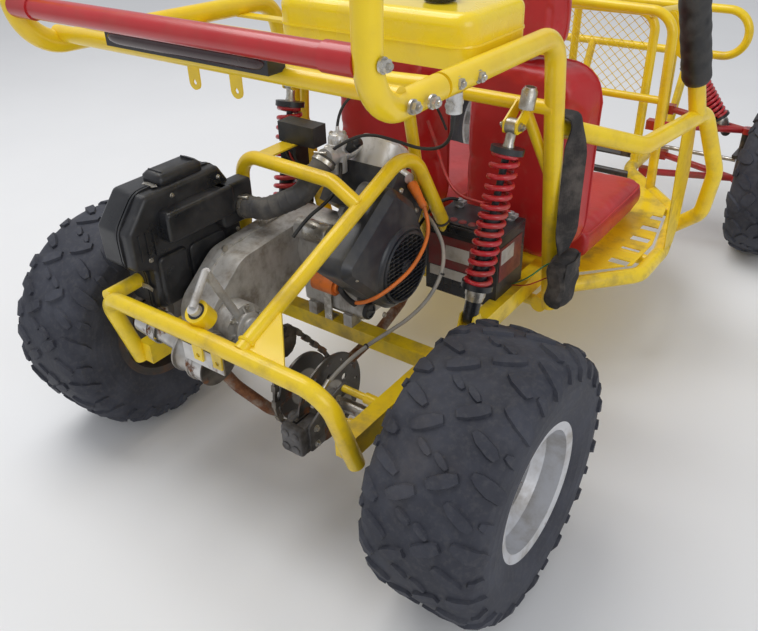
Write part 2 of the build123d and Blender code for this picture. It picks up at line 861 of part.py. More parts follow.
def cord(points, diameter):
    """A held cord: its bends take 0.45 of the shorter run beside each point. Their radii are printed."""
    bends = []
    for before, here, after in zip(points, points[1:], points[2:]):
        back = Vector(*here) - Vector(*before)
        ahead = Vector(*after) - Vector(*here)
        turn = radians(back.get_angle(ahead))
        bends.append(0.45 * min(back.length, ahead.length) / tan(turn / 2))
    print(f"cord of {diameter} mm, bend radii:", [round(bend) for bend in bends])
    tube(points, diameter, bends)


# Ignition lead from the coil round the fan cover to the spark plug, with its boot
lead_diameter = 9
boot_low = (150, 328, 617)
lead_route = [
    (38, coil_y, coil_z),
    (72, 136, 444),
    (118, 120, 452),
    (156, 138, 470),
    (176, 186, 490),
    (184, 240, 508),
    (182, 296, 544),
    (170, 322, 582),
    boot_low,
]
with BuildPart() as ignition_lead:
    cord(lead_route, lead_diameter)
    rod(boot_low, plug_place, 9)
    cope(cylinder_head, ignition_coil)
finish(ignition_lead, "ignition_lead")

# Fuel tank and its cap
tank_low = (-98, 172, tank_base_z)
tank_high = (344, 398, tank_base_z + 92)
with BuildPart() as fuel_tank:
    block(tank_low, tank_high)
    fillet(edges().filter_by(Axis.Z), 42)
    fillet(faces().sort_by(Axis.Z)[-1].edges(), 22)
    for ear_y in (214, 330):
        block(
            (tank_high[0] - 10, ear_y, tank_low[2] + 4),
            (top_rail_half_width - 6, ear_y + 30, tank_low[2] + 9),
        )
    cope(rear_frame)
finish(fuel_tank, "fuel_tank")

with BuildPart() as fuel_cap:
    rod((232, 256, tank_high[2]), (232, 256, tank_high[2] + 30), 30)
    chamfer(edges().filter_by(GeomType.CIRCLE).sort_by(Axis.Z)[-1], 5)
finish(fuel_cap, "fuel_cap")

# Fuel tap under the tank
tap_x = 300
tap_y = 200
tap_z = tank_base_z - 82
with BuildPart() as fuel_tap:
    rod((tap_x, tap_y, tap_z), (tap_x, tap_y, tank_base_z), 8)
    rod((tap_x, tap_y, tap_z), (tap_x, tap_y, tap_z + 38), 15)
    rod((tap_x, tap_y - 18, tap_z + 16), (tap_x, tap_y + 18, tap_z + 16), 9)
finish(fuel_tap, "fuel_tap")

# Fuel hose from the tap over the engine arch to the carburettor
hose_route = [
    (tap_x, tap_y, tap_z),
    (tap_x - 2, tap_y + 2, tap_z - 42),
    (262, 222, 798),
    (196, 246, 776),
    (118, 266, 774),
    (44, 284, 768),
    (carb_x + 46, 276, carb_z + 44),
    (carb_x + 8, 262, carb_z + 16),
]
with BuildPart() as fuel_hose:
    cord(hose_route, 7)
    cope(carburettor, fuel_tap)
finish(fuel_hose, "fuel_hose")

# Tail light bar on the cross tube
with BuildPart() as tail_light:
    block((-190, light_bar_y - 42, light_bar_z + 9), (190, light_bar_y - 4, light_bar_z + 43))
    cope(rear_frame, rear_cross_bar)
finish(tail_light, "tail_light")

# Seats: bucket backs that widen to their wings, cushions and headrests
seat_x = 205
back_rear_y = 640
back_front_y = 770
back_base_z = 356
back_top_z = 868
back_height = back_top_z - back_base_z
with BuildPart() as seat_backs:
    for section_y, section_width, corner in ((back_rear_y, 290, 60), (back_front_y, 370, 100)):
        middle = place(seat_x, section_y, back_base_z + back_height / 2)
        with BuildSketch(Plane(origin=middle, x_dir=(1, 0, 0), z_dir=(0, 1, 0))):
            RectangleRounded(section_width, back_height, corner)
    loft()
    mirror(about=Plane.YZ)
finish(seat_backs, "seat_backs")

with BuildPart() as seat_cushions:
    block((30, back_front_y + seat_gap, cushion_base_z), (380, 1210, cushion_base_z + 98))
    fillet(edges().filter_by(Axis.Z), 50)
    mirror(about=Plane.YZ)
finish(seat_cushions, "seat_cushions")

# Lap belts: webbing that hangs from the side bars' rear ends, with its buckle pouch below
belt_x = 401
belt_y = 528
belt_width = 50
belt_thickness = 3
pouch_low = (384, 490, 398)
pouch_high = (428, 566, 482)
with BuildPart() as seat_belts:
    block(
        (belt_x, belt_y - belt_width / 2, pouch_high[2]),
        (belt_x + belt_thickness, belt_y + belt_width / 2, 800),
    )
    block((belt_x - 62, belt_y - belt_width / 2, 797), (belt_x, belt_y + belt_width / 2, 800))
    mirror(about=Plane.YZ)
    cope(side_bars, rear_frame)
finish(seat_belts, "seat_belts")

with BuildPart() as belt_pouches:
    block(pouch_low, pouch_high)
    fillet(edges(), 10)
    mirror(about=Plane.YZ)
    cope(seat_belts)
finish(belt_pouches, "belt_pouches")

with BuildPart() as headrests:
    block((seat_x - 80, 656, back_top_z + seat_gap), (seat_x + 80, 756, back_top_z + 176))
    fillet(edges().filter_by(Axis.Y), 30)
    mirror(about=Plane.YZ)
finish(headrests, "headrests")

# Two electric boxes on the bracket under the arch's branch
with BuildPart() as electrics:
    block((-240, box_row_y, 694), (-132, box_row_y + 46, 742))
    block((-236, box_row_y - 4, 634), (-186, box_row_y + 40, 690))
finish(electrics, "electrics")


# Springs and dampers: one pair behind the seats, one pair at the front
front_shock_low = (432, wheelbase, 398)
spring_radius = 33
spring_turns = 8
rod_share = 0.34


def strut_station(side, top, low, share):
    """A point between a strut's two eyes, counted from the upper one."""
    return (
        side * (top[0] + (low[0] - top[0]) * share),
        top[1] + (low[1] - top[1]) * share,
        top[2] + (low[2] - top[2]) * share,
    )


struts = [
    (side, top, low)
    for side in (1, -1)
    for top, low in ((shock_top, shock_low), (front_shock_top, front_shock_low))
]
with BuildPart() as dampers:
    for side, top, low in struts:
        rod(strut_station(side, top, low, 0), strut_station(side, top, low, 0.5), 8)
        rod(strut_station(side, top, low, 0.45), strut_station(side, top, low, 1), 18)
        rod(strut_station(side, top, low, 0.1), strut_station(side, top, low, 0.13), spring_radius + 3)
        rod(strut_station(side, top, low, 0.8), strut_station(side, top, low, 0.83), spring_radius + 3)
        for eye_share in (0, 1):
            eye = strut_station(side, top, low, eye_share)
            across = (9, 0, 0) if top == shock_top else (0, 9, 0)
            rod(
                tuple(value - step for value, step in zip(eye, across)),
                tuple(value + step for value, step in zip(eye, across)),
                16,
            )
    cope(rear_frame, swing_arm, front_frame)
finish(dampers, "dampers")

# Coil springs, drawn as ribbed sleeves whose ridges stand where the coils do
with BuildPart() as coil_springs:
    for side, top, low in struts:
        upper = Vector(*place(*strut_station(side, top, low, 0.13)))
        reach = Vector(*place(*strut_station(side, top, low, 0.8))) - upper
        pitch = reach.length / spring_turns
        ridge = [
            (pitch * turn / 2, spring_radius - (0 if turn % 2 else 9))
            for turn in range(2 * spring_turns + 1)
        ]
        with BuildSketch(
            Plane(origin=upper, x_dir=reach, z_dir=(0, 1, 0) if top != shock_top else (1, 0, 0))
        ) as sleeve:
            with BuildLine():
                Polyline((0, 19), *ridge, (reach.length, 19), close=True)
            make_face()
        revolve(sleeve.sketch, axis=Axis(upper, reach))
    cope(dampers)
finish(coil_springs, "coil_springs")

# Front suspension arms
ball_x = 500
ball_low_z = 236
ball_top_z = 410
arm_root_x = 205
king_pin_radius = 6
with BuildPart() as front_arms:
    for arm_z in (ball_low_z, ball_top_z):
        for root_y in (wheelbase - 100, wheelbase + 100):
            tube([(arm_root_x, root_y, arm_z), (ball_x - 18, wheelbase, arm_z)], arm_tube)
        rod((ball_x, wheelbase, arm_z - 10), (ball_x, wheelbase, arm_z + 10), 17)
        rod(
            (ball_x, wheelbase, arm_z - 10),
            (ball_x, wheelbase, arm_z + 10),
            king_pin_radius + running_gap,
            mode=Mode.SUBTRACT,
        )
        for root_y in (wheelbase - 100, wheelbase + 100):
            block((nose_x, root_y - 16, arm_z - 16), (arm_root_x + 16, root_y + 16, arm_z + 16))
    mirror(about=Plane.YZ)
    cope(lower_frame, front_frame, dampers)
finish(front_arms, "front_arms")

# Knuckles: post between the arms' ends, spindle for the wheel and an arm to the tie rod
knuckle_arm_length = 90
tie_rod_y = wheelbase - knuckle_arm_length
tie_rod_z = 335
for side, side_name in ((1, "right"), (-1, "left")):
    with BuildPart() as knuckle:
        rod(
            (side * ball_x, wheelbase, ball_low_z + 10 + seat_gap),
            (side * ball_x, wheelbase, ball_top_z - 10 - seat_gap),
            15,
        )
        rod(
            (side * ball_x, wheelbase, ball_low_z - 10),
            (side * ball_x, wheelbase, ball_top_z + 10),
            king_pin_radius,
        )
        rod(
            (side * ball_x, wheelbase, front_axle_z),
            (side * (front_half_track + 30), wheelbase, front_axle_z),
            spindle_radius,
        )
        block(
            (min(side * 488, side * 512), tie_rod_y - 12, tie_rod_z + 9),
            (max(side * 488, side * 512), wheelbase, tie_rod_z + 19),
        )
    finish(knuckle, f"knuckle_{side_name}")

# Tie rods: one rod through the rack housing, out to both knuckle arms
rack_half = 160
rod_radius = 7
with BuildPart() as tie_rods:
    rod((-ball_x, tie_rod_y, tie_rod_z), (ball_x, tie_rod_y, tie_rod_z), rod_radius)
finish(tie_rods, "tie_rods")

with BuildPart() as steering_rack:
    rod((-rack_half, tie_rod_y, tie_rod_z), (rack_half, tie_rod_y, tie_rod_z), 20)
    rod(
        (-rack_half, tie_rod_y, tie_rod_z),
        (rack_half, tie_rod_y, tie_rod_z),
        rod_radius + running_gap,
        mode=Mode.SUBTRACT,
    )
    for foot_x in (-130, 130):
        block((foot_x - 15, tie_rod_y - 20, floor_height), (foot_x + 15, tie_rod_y + 20, tie_rod_z - 19))
    block((-rail_front_x, tie_rod_y - 20, floor_height - 6), (rail_front_x, tie_rod_y + 20, floor_height))
    rod((-62, tie_rod_y, tie_rod_z + 14), (-66, tie_rod_y - 14, tie_rod_z + 44), 16)
    rod((-66, tie_rod_y - 14, tie_rod_z + 40), (wheel_x + 6, column_end_y + 22, column_end_z - 14), 9)
    rod(
        (wheel_x + 12, column_end_y + 30, column_end_z - 24),
        (wheel_x + 2, column_end_y + 8, column_end_z - 6),
        15,
    )
    cope(lower_frame, front_frame)
finish(steering_rack, "steering_rack")

# Steering wheel and its column
with BuildPart() as steering_column:
    rod((wheel_x, wheel_y, wheel_z), (wheel_x, column_end_y, column_end_z), column_radius)
finish(steering_column, "steering_column")

column_axis = Vector(0, wheel_y - column_end_y, wheel_z - column_end_z).normalized()
with BuildPart() as steering_wheel:
    hub_plane = Plane(origin=place(wheel_x, wheel_y, wheel_z), x_dir=(1, 0, 0), z_dir=tuple(column_axis))
    with BuildSketch(hub_plane):
        Circle(45)
        for spoke_turn in (0, 120, 240):
            with Locations(Location((0, 0, 0), (0, 0, spoke_turn + 90))):
                with Locations((70, 0)):
                    Rectangle(140, 24)
    extrude(amount=6)
    with BuildSketch(
        Plane(
            origin=hub_plane.origin + hub_plane.x_dir * 142 + hub_plane.z_dir * 3,
            x_dir=hub_plane.x_dir,
            z_dir=hub_plane.y_dir,
        )
    ):
        Circle(13)
    revolve(axis=Axis(hub_plane.origin, hub_plane.z_dir))
finish(steering_wheel, "steering_wheel")

# Pedals on a pivot tube across the front rails
pedal_y = wheelbase - 280
with BuildPart() as pedals:
    rod((-228, pedal_y, floor_height), (228, pedal_y, floor_height), thin_tube / 2)
    for pedal_x in (-232 + 40, -98):
        rod((pedal_x - 14, pedal_y, floor_height), (pedal_x + 14, pedal_y, floor_height), 18)
        rod((pedal_x, pedal_y, floor_height), (pedal_x, pedal_y - 40, floor_height + 150), 7)
        plate(
            side_plane(pedal_x - 34, 0, 0),
            [
                (pedal_y - 38, floor_height + 108),
                (pedal_y - 32, floor_height + 107),
                (pedal_y - 48, floor_height + 178),
                (pedal_y - 54, floor_height + 176),
            ],
            68,
        )
    cope(lower_frame)
finish(pedals, "pedals")

# Brake cable from the pedal, between the seats, past the fan and over the middle bar to the caliper
cable_diameter = 9
cable_route = [
    (-92, wheelbase - 298, 352),
    (-70, wheelbase - 352, 336),
    (-30, wheelbase - 420, 314),
    (-4, 1280, 309),
    (3, 1160, 309),
    (-3, 1040, 309),
    (2, 920, 309),
    (-2, 800, 309),
    (10, 690, 316),
    (30, 620, 352),
    (46, 560, 408),
    (54, 504, 474),
    (74, 446, 528),
    (114, 402, 550),
    (164, 364, 544),
    (202, 338, 516),
    (213, 312, 466),
    (203, 276, 418),
    (182, 230, 382),
    (162, 168, 368),
    (154, 100, 368),
    (150, 34, 362),
    (146, -30, 344),
    (143, -76, 310),
]
with BuildPart() as brake_cable:
    cord(cable_route, cable_diameter)
    cope(brake_caliper, pedals)
finish(brake_cable, "brake_cable")

# Vinyl sleeves on the front pillars
with BuildPart() as pillar_sleeves:
    sleeve_low = [p + (q - p) * 0.1 for p, q in zip(pillar_foot, (437, roof_front_y, roof_height))]
    sleeve_high = [p + (q - p) * 0.78 for p, q in zip(pillar_foot, (437, roof_front_y, roof_height))]
    rod(sleeve_low, sleeve_high, 36)
    mirror(about=Plane.YZ)
    cope(roll_cage)
finish(pillar_sleeves, "pillar_sleeves")

# Rear axle: shaft with hubs, brake disc and chain sprocket
hub_face_x = rear_half_track - 62
with BuildPart() as rear_axle:
    rod((-hub_face_x, 0, rear_axle_z), (hub_face_x, 0, rear_axle_z), axle_radius)
    for side in (1, -1):
        rod((side * (hub_face_x - 50), 0, rear_axle_z), (side * hub_face_x, 0, rear_axle_z), 28)
        rod((side * (hub_face_x - 8), 0, rear_axle_z), (side * hub_face_x, 0, rear_axle_z), 62)
    rod((disc_x - 2, 0, rear_axle_z), (disc_x + 2, 0, rear_axle_z), disc_radius)
    rod((disc_x, 0, rear_axle_z), (disc_x + 40, 0, rear_axle_z), 24)
    with Locations(Plane(origin=place(disc_x, 0, rear_axle_z), z_dir=(1, 0, 0))):
        for hole_ring, hole_count in ((56, 6), (88, 12)):
            with PolarLocations(hole_ring, hole_count):
                Cylinder(8 if hole_ring == 56 else 4, 5, mode=Mode.SUBTRACT)
    rod((sprocket_x - 3, 0, rear_axle_z), (sprocket_x + 3, 0, rear_axle_z), sprocket_radius)
    rod((sprocket_x - 34, 0, rear_axle_z), (sprocket_x, 0, rear_axle_z), 26)
finish(rear_axle, "rear_axle")


def rim(x_middle, y, z, half_width, face_offset, side, bore):
    """A pressed wheel: flanged barrel with a drop centre, and a disc towards the hub."""
    lip = rim_radius + rim_flange_height
    middle = Plane(origin=place(x_middle, y, z), x_dir=(side, 0, 0), z_dir=(0, -side, 0))
    with BuildSketch(middle) as section:
        with BuildLine():
            Polyline(
                (-half_width, lip),
                (-half_width + 5, lip),
                (-half_width + 8, rim_radius),
                (-half_width + 40, rim_radius - 2),
                (-half_width + 55, rim_radius - 18),
                (half_width - 65, rim_radius - 18),
                (half_width - 45, rim_radius - 2),
                (half_width - 8, rim_radius),
                (half_width - 5, lip),
                (half_width, lip),
                (half_width, lip - 5),
                (half_width - 4, rim_radius - 5),
                (half_width - 44, rim_radius - 8),
                (half_width - 64, rim_radius - 24),
                (-half_width + 54, rim_radius - 24),
                (-half_width + 36, rim_radius - 8),
                (-half_width + 4, rim_radius - 5),
                (-half_width, lip - 5),
                close=True,
            )
        make_face()
        with BuildLine():
            Polyline(
                (face_offset, bore),
                (face_offset, rim_radius - 20),
                (face_offset + 5, rim_radius - 20),
                (face_offset + 5, bore),
                close=True,
            )
        make_face()
    revolve(section.sketch, axis=Axis(place(x_middle, y, z), (1, 0, 0)))


def tyre(x_middle, y, z, radius, width, half_rim, side, lug_count):
    """A balloon tyre: ruled carcass with two flats to each lug, and rows of slanted lugs."""
    carcass = radius - lug_height
    half = width / 2
    flats = 2 * lug_count
    corner = 1 / cos(radians(180 / flats))
    bead = rim_radius + seat_gap
    crown_half = half - 46
    bulge = (bead + carcass) / 2 - 2
    # outside sections: distance from the middle, radius
    outside = [(crown_half, carcass), (half - 12, carcass - 22), (half, bulge)]
    sections = [(-across, reach) for across, reach in reversed(outside)] + outside

    def flat_ring(across, reach):
        """A many-sided outline round the axle, whose flats stand at a radius."""
        with BuildSketch(
            Plane(origin=place(x_middle + across, y, z), x_dir=(0, 0, 1), z_dir=(1, 0, 0))
        ) as ring:
            RegularPolygon(reach * corner, flats, rotation=180 / flats)
        return ring.sketch

    loft([flat_ring(across, reach) for across, reach in sections], ruled=True)
    for way in (-1, 1):
        recess = [flat_ring(way * half, bulge), flat_ring(way * (half_rim - 12), bead)]
        loft(recess, ruled=True, mode=Mode.SUBTRACT)
    extrude(flat_ring(-half, bead), amount=width, mode=Mode.SUBTRACT)
    # lug rows: distance from the middle, turn within the pitch, slant, length, width, top below the radius
    rows = [
        (crown_half * 0.42, 0.0, 33, 44, 17, 0),
        (-crown_half * 0.42, 0.5, -33, 44, 17, 0),
        (crown_half + 16, 0.5, -68, 25, 23, 9),
        (-crown_half - 16, 0.0, 68, 25, 23, 9),
    ]
    lug_sink = 9
    for offset, share, slant, lug_length, lug_width, drop in rows:
        ring = Plane(origin=place(x_middle + side * offset, y, z), x_dir=(0, 0, -1), z_dir=(1, 0, 0))
        height = lug_height + lug_sink
        with Locations(ring):
            with PolarLocations(radius - drop - height / 2, lug_count, start_angle=360 * share / lug_count):
                Box(height, lug_length, lug_width, rotation=(slant, 0, 0))


rear_rim_half = 108
front_rim_half = 82
with BuildPart() as rear_wheels:
    for side in (1, -1):
        rim(side * rear_half_track, 0, rear_axle_z, rear_rim_half, -62, side, 14)
finish(rear_wheels, "rear_wheels")

with BuildPart() as rear_tyres:
    for side in (1, -1):
        tyre(
            side * rear_half_track,
            0,
            rear_axle_z,
            rear_tyre_radius,
            rear_tyre_width,
            rear_rim_half,
            side,
            14,
        )
finish(rear_tyres, "rear_tyres")

for side, side_name in ((1, "right"), (-1, "left")):
    with BuildPart() as front_wheel:
        rim(side * front_half_track, wheelbase, front_axle_z, front_rim_half, -10, side, 20)
        rod(
            (side * (front_half_track - 45), wheelbase, front_axle_z),
            (side * (front_half_track + 28), wheelbase, front_axle_z),
            26,
        )
        rod(
            (side * (front_half_track - 60), wheelbase, front_axle_z),
            (side * (front_half_track + 60), wheelbase, front_axle_z),
            spindle_radius + running_gap,
            mode=Mode.SUBTRACT,
        )
    finish(front_wheel, f"front_wheel_{side_name}")
    with BuildPart() as front_tyre:
        tyre(
            side * front_half_track,
            wheelbase,
            front_axle_z,
            front_tyre_radius,
            front_tyre_width,
            front_rim_half,
            side,
            10,
        )
    finish(front_tyre, f"front_tyre_{side_name}")
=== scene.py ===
import math

import bpy
import numpy as np
from mathutils import Matrix, Vector
from mathutils.bvhtree import BVHTree


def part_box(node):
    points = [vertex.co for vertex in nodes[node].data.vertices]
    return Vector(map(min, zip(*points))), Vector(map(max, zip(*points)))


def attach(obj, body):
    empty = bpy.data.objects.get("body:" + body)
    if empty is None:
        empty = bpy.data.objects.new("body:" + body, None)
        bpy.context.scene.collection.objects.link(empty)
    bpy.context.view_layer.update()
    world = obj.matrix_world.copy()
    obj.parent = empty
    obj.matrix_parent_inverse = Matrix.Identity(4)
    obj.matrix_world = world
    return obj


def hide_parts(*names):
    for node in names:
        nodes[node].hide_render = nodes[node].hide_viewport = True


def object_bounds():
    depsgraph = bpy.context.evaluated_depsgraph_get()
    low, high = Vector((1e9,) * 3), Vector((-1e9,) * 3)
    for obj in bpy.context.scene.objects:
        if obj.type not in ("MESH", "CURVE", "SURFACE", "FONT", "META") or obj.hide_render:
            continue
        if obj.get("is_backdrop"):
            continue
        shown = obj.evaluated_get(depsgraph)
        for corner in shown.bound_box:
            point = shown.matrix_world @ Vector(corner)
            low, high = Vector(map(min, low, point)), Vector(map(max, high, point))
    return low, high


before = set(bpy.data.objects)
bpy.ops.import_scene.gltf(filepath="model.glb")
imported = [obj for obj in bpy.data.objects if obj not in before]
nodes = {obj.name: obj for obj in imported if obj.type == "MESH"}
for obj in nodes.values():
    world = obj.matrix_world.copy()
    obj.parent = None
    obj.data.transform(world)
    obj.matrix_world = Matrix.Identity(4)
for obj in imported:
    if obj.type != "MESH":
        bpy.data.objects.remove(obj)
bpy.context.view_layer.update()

# Studio: the view from behind, to the right and above, over a pale floor.
# One broad soft lamp overhead, a weaker one from the right, and a pale room round them.
REAR_AXLE_Y = -0.908
PHOTO_SIZE = (758, 631)
VIEW_LENGTH_PX = 770.5
VIEW_PLACE = (1.006, -0.978 + REAR_AXLE_Y, 1.323)
VIEW_YAW, VIEW_DOWN, VIEW_ROLL = math.radians(37.07), math.radians(32.56), math.radians(-1.8)

lens = bpy.data.cameras.new("view")
lens.sensor_width = 36.0
lens.lens = lens.sensor_width * VIEW_LENGTH_PX / PHOTO_SIZE[0]
lens.clip_start, lens.clip_end = 0.05, 60.0
camera = bpy.data.objects.new("view", lens)
bpy.context.scene.collection.objects.link(camera)
looking = Vector((
    -math.sin(VIEW_YAW) * math.cos(VIEW_DOWN), math.cos(VIEW_YAW) * math.cos(VIEW_DOWN),
    -math.sin(VIEW_DOWN),
))
turned = looking.to_track_quat("-Z", "Y").to_matrix() @ Matrix.Rotation(VIEW_ROLL, 3, "Z")
camera.matrix_world = Matrix.Translation(VIEW_PLACE) @ turned.to_4x4()
bpy.context.scene.camera = camera
bpy.context.scene.view_settings.view_transform = "Standard"


def put(tree, kind, settings=None, **sockets):
    """Adds one shader node. A socket that is given is linked and a plain value is set; i0, i1 name inputs
    by number."""
    made = tree.nodes.new("ShaderNode" + kind)
    for key, value in (settings or {}).items():
        setattr(made, key, value)
    for key, value in sockets.items():
        socket = made.inputs[int(key[1:])] if key[0] == "i" and key[1:].isdigit() else made.inputs[
            key.replace("_", " ")
        ]
        if isinstance(value, bpy.types.NodeSocket):
            tree.links.new(value, socket)
        else:
            socket.default_value = value
    return made


def empty_tree(owner):
    """The owner's node tree, with nothing in it."""
    owner.use_nodes = True
    owner.node_tree.nodes.clear()
    return owner.node_tree


def lamp(name, place, aim, size, power):
    """A square soft lamp that shines from its place towards the aim."""
    light = bpy.data.lights.new(name, "AREA")
    light.size, light.energy = size, power
    holder = bpy.data.objects.new(name, light)
    bpy.context.scene.collection.objects.link(holder)
    towards = Vector(aim) - Vector(place)
    holder.matrix_world = Matrix.Translation(place) @ towards.to_track_quat("-Z", "Y").to_matrix().to_4x4()


lamp("overhead_lamp", (-1.6, -0.6, 4.6), (0, -0.3, 0.4), 3.2, 125)
lamp("right_lamp", (3.6, -2.2, 2.2), (0, -0.4, 0.5), 2.4, 36)

room = empty_tree(bpy.context.scene.world or bpy.data.worlds.new("room"))
bpy.context.scene.world = bpy.context.scene.world or bpy.data.worlds["room"]
rays = put(room, "LightPath").outputs
seen = put(room, "Math", {"operation": "MAXIMUM"}, i0=rays["Is Camera Ray"], i1=rays["Is Transmission Ray"])
fill = put(room, "Background", Color=(0.93, 0.95, 1.0, 1), Strength=0.56)
backdrop = put(room, "Background", Color=(0.93, 0.94, 0.95, 1), Strength=1.0)
both = put(room, "MixShader", i0=seen.outputs[0], i1=fill.outputs[0], i2=backdrop.outputs[0])
put(room, "OutputWorld", Surface=both.outputs[0])

FLOOR_HALF = 60.0
floor_mesh = bpy.data.meshes.new("floor")
floor_corners = [(FLOOR_HALF * x, FLOOR_HALF * y, 0) for x, y in ((-1, -1), (1, -1), (1, 1), (-1, 1))]
floor_mesh.from_pydata(floor_corners, [], [(0, 1, 2, 3)])
floor = bpy.data.objects.new("floor", floor_mesh)
bpy.context.scene.collection.objects.link(floor)
floor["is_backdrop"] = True
floor_finish = bpy.data.materials.new("pale_floor")
tree = empty_tree(floor_finish)
cloud = put(tree, "TexNoise", Vector=put(tree, "TexCoord").outputs["Object"], Scale=1.5, Detail=4)
tone = put(tree, "ValToRGB", Fac=cloud.outputs["Fac"])
tone.color_ramp.elements[0].color = (0.80, 0.80, 0.80, 1)
tone.color_ramp.elements[1].color = (0.86, 0.86, 0.855, 1)
put(
    tree,
    "OutputMaterial",
    Surface=put(tree, "BsdfPrincipled", Base_Color=tone.outputs["Color"], Roughness=0.85).outputs[0],
)
floor.data.materials.append(floor_finish)

# Tube frame: steel tubes bent, coped and welded, and painted yellow.
# The paint is glossy but dusty, with brown dirt low down and grey steel at rubbed spots.
def spot(x, y, z):
    """A point given in millimetres from the rear axle, as the drawings have it, in metres in the kart's
    frame."""
    return np.array([x / 1000, y / 1000 + REAR_AXLE_Y, z / 1000])


def spots(points):
    """Several such points."""
    return [spot(*point) for point in points]


def noise(tree, where, scale, low, high, detail=4.0):
    """Cloudy values from 0 to 1: nothing below low, everything above high."""
    cloud = put(tree, "TexNoise", Vector=where, Scale=scale, Detail=detail, Roughness=0.62)
    return put(
        tree, "MapRange", {"interpolation_type": "SMOOTHSTEP"}, Value=cloud.outputs["Fac"], i1=low, i2=high
    ).outputs[0]


def mix(tree, share, first, second):
    """Between two colours, by a share from 0 to 1."""
    return put(tree, "Mix", {"data_type": "RGBA"}, i0=share, i6=first, i7=second).outputs[2]


def value(tree, share, first, second):
    """Between two numbers, by a share from 0 to 1."""
    return put(tree, "MapRange", Value=share, i3=first, i4=second).outputs[0]


def times(tree, first, second):
    """The product of two values."""
    return put(tree, "Math", {"operation": "MULTIPLY"}, i0=first, i1=second).outputs[0]


def bump(tree, height, distance, strength=1.0, under=None):
    """Raises the surface by a height map, in metres, over the relief under it."""
    more = {"Normal": under} if under else {}
    return put(tree, "Bump", Height=height, Distance=distance, Strength=strength, **more).outputs[0]


def colour(red, green, blue):
    return (red, green, blue, 1.0)


def surface(name, **sockets):
    """A new finish. Its tree, its place coordinates, and a function that closes it with the shader's
    values."""
    made = bpy.data.materials.new(name)
    tree = empty_tree(made)
    where = put(tree, "TexCoord").outputs["Object"]

    def close(**values):
        shader = put(tree, "BsdfPrincipled", **{**sockets, **values})
        put(tree, "OutputMaterial", Surface=shader.outputs[0])
        return made

    return tree, where, close


def low_down(tree, where, low, high):
    """1 at height low, falling to nothing at height high, in metres."""
    height = put(tree, "SeparateXYZ", Vector=where).outputs[2]
    return put(
        tree, "MapRange", {"interpolation_type": "SMOOTHSTEP"}, Value=height, i1=high, i2=low
    ).outputs[0]


def paint(name, body_colour, shade, bare, gloss=0.3, chips=0.74):
    """Sprayed gloss paint: two close shades in clouds, dust low down and in patches, and chips down to bare
    metal."""
    tree, where, close = surface(name)
    tint = mix(tree, noise(tree, where, 5, 0.35, 0.7), body_colour, shade)
    dust = times(
        tree, noise(tree, where, 16, 0.42, 0.75, 8),
        value(tree, low_down(tree, where, 0.2, 0.95), 0.12, 0.62),
    )
    dusty = mix(tree, dust, tint, colour(0.20, 0.135, 0.07))
    rub = times(tree, noise(tree, where, 34, chips, chips + 0.035, 10), noise(tree, where, 4, 0.42, 0.6))
    worn = mix(tree, rub, dusty, bare)
    gloss_now = value(
        tree, put(tree, "Math", {"operation": "MAXIMUM"}, i0=dust, i1=rub).outputs[0], gloss, 0.72
    )
    peel = put(tree, "TexNoise", Vector=where, Scale=420, Detail=2).outputs["Fac"]
    relief = bump(tree, rub, 0.0004, 1.0, bump(tree, peel, 0.00006))
    return close(Base_Color=worn, Roughness=gloss_now, Normal=relief, Coat_Weight=0.25, Coat_Roughness=0.12)


yellow_paint = paint(
    "yellow_paint", colour(0.93, 0.67, 0.013), colour(0.89, 0.60, 0.009), colour(0.30, 0.24, 0.18)
)
FRAME_NODES = (
    "lower_frame", "rear_frame", "side_bars", "roll_cage", "front_frame", "front_bumper",
    "floor_pan", "side_panels", "swing_arm", "swing_arm_hoop", "engine_arch",
)


def dress(finish, *names):
    """Gives CAD nodes a finish."""
    for name in names:
        nodes[name].data.materials.clear()
        nodes[name].data.materials.append(finish)


dress(yellow_paint, *FRAME_NODES)


def joined(*shapes):
    """Several shapes as one. A shape is its points, and its faces as arrays of point numbers."""
    starts = np.cumsum([0] + [len(points) for points, _ in shapes])
    faces = [group + start for (_, groups), start in zip(shapes, starts) for group in groups]
    return np.vstack([points for points, _ in shapes]), faces


def grid(points, close_rows=False, close_columns=False, caps=False):
    """Faces over rows and columns of points, closed round where asked, with a flat cap on the first and
    last row. A closed shape whose volume comes out negative, as its faces are signed, has every face turned
    over."""
    rows, columns = points.shape[:2]
    number = np.arange(rows * columns).reshape(rows, columns)
    wrapped = np.vstack([number, number[:1]]) if close_rows else number
    wrapped = np.hstack([wrapped, wrapped[:, :1]]) if close_columns else wrapped
    faces = [
        np.stack(
            [wrapped[:-1, :-1], wrapped[:-1, 1:], wrapped[1:, 1:], wrapped[1:, :-1]], -1
        ).reshape(-1, 4)
    ]
    if caps:
        faces += [number[:1, ::-1], number[-1:]]
    points = points.reshape(-1, 3)
    around = points - points.mean(0)
    corners = [around[group] for group in faces]
    volume = sum(
        np.einsum("ij,ij", np.cross(c[:, 0], c[:, k]), c[:, k + 1])
        for c in corners
        for k in range(1, c.shape[1] - 1)
    )
    if volume < 0 and (caps or (close_rows and close_columns)):
        faces = [group[:, ::-1] for group in faces]
    return points, faces


def unit(vectors):
    return vectors / np.maximum(np.linalg.norm(vectors, axis=-1, keepdims=True), 1e-12)


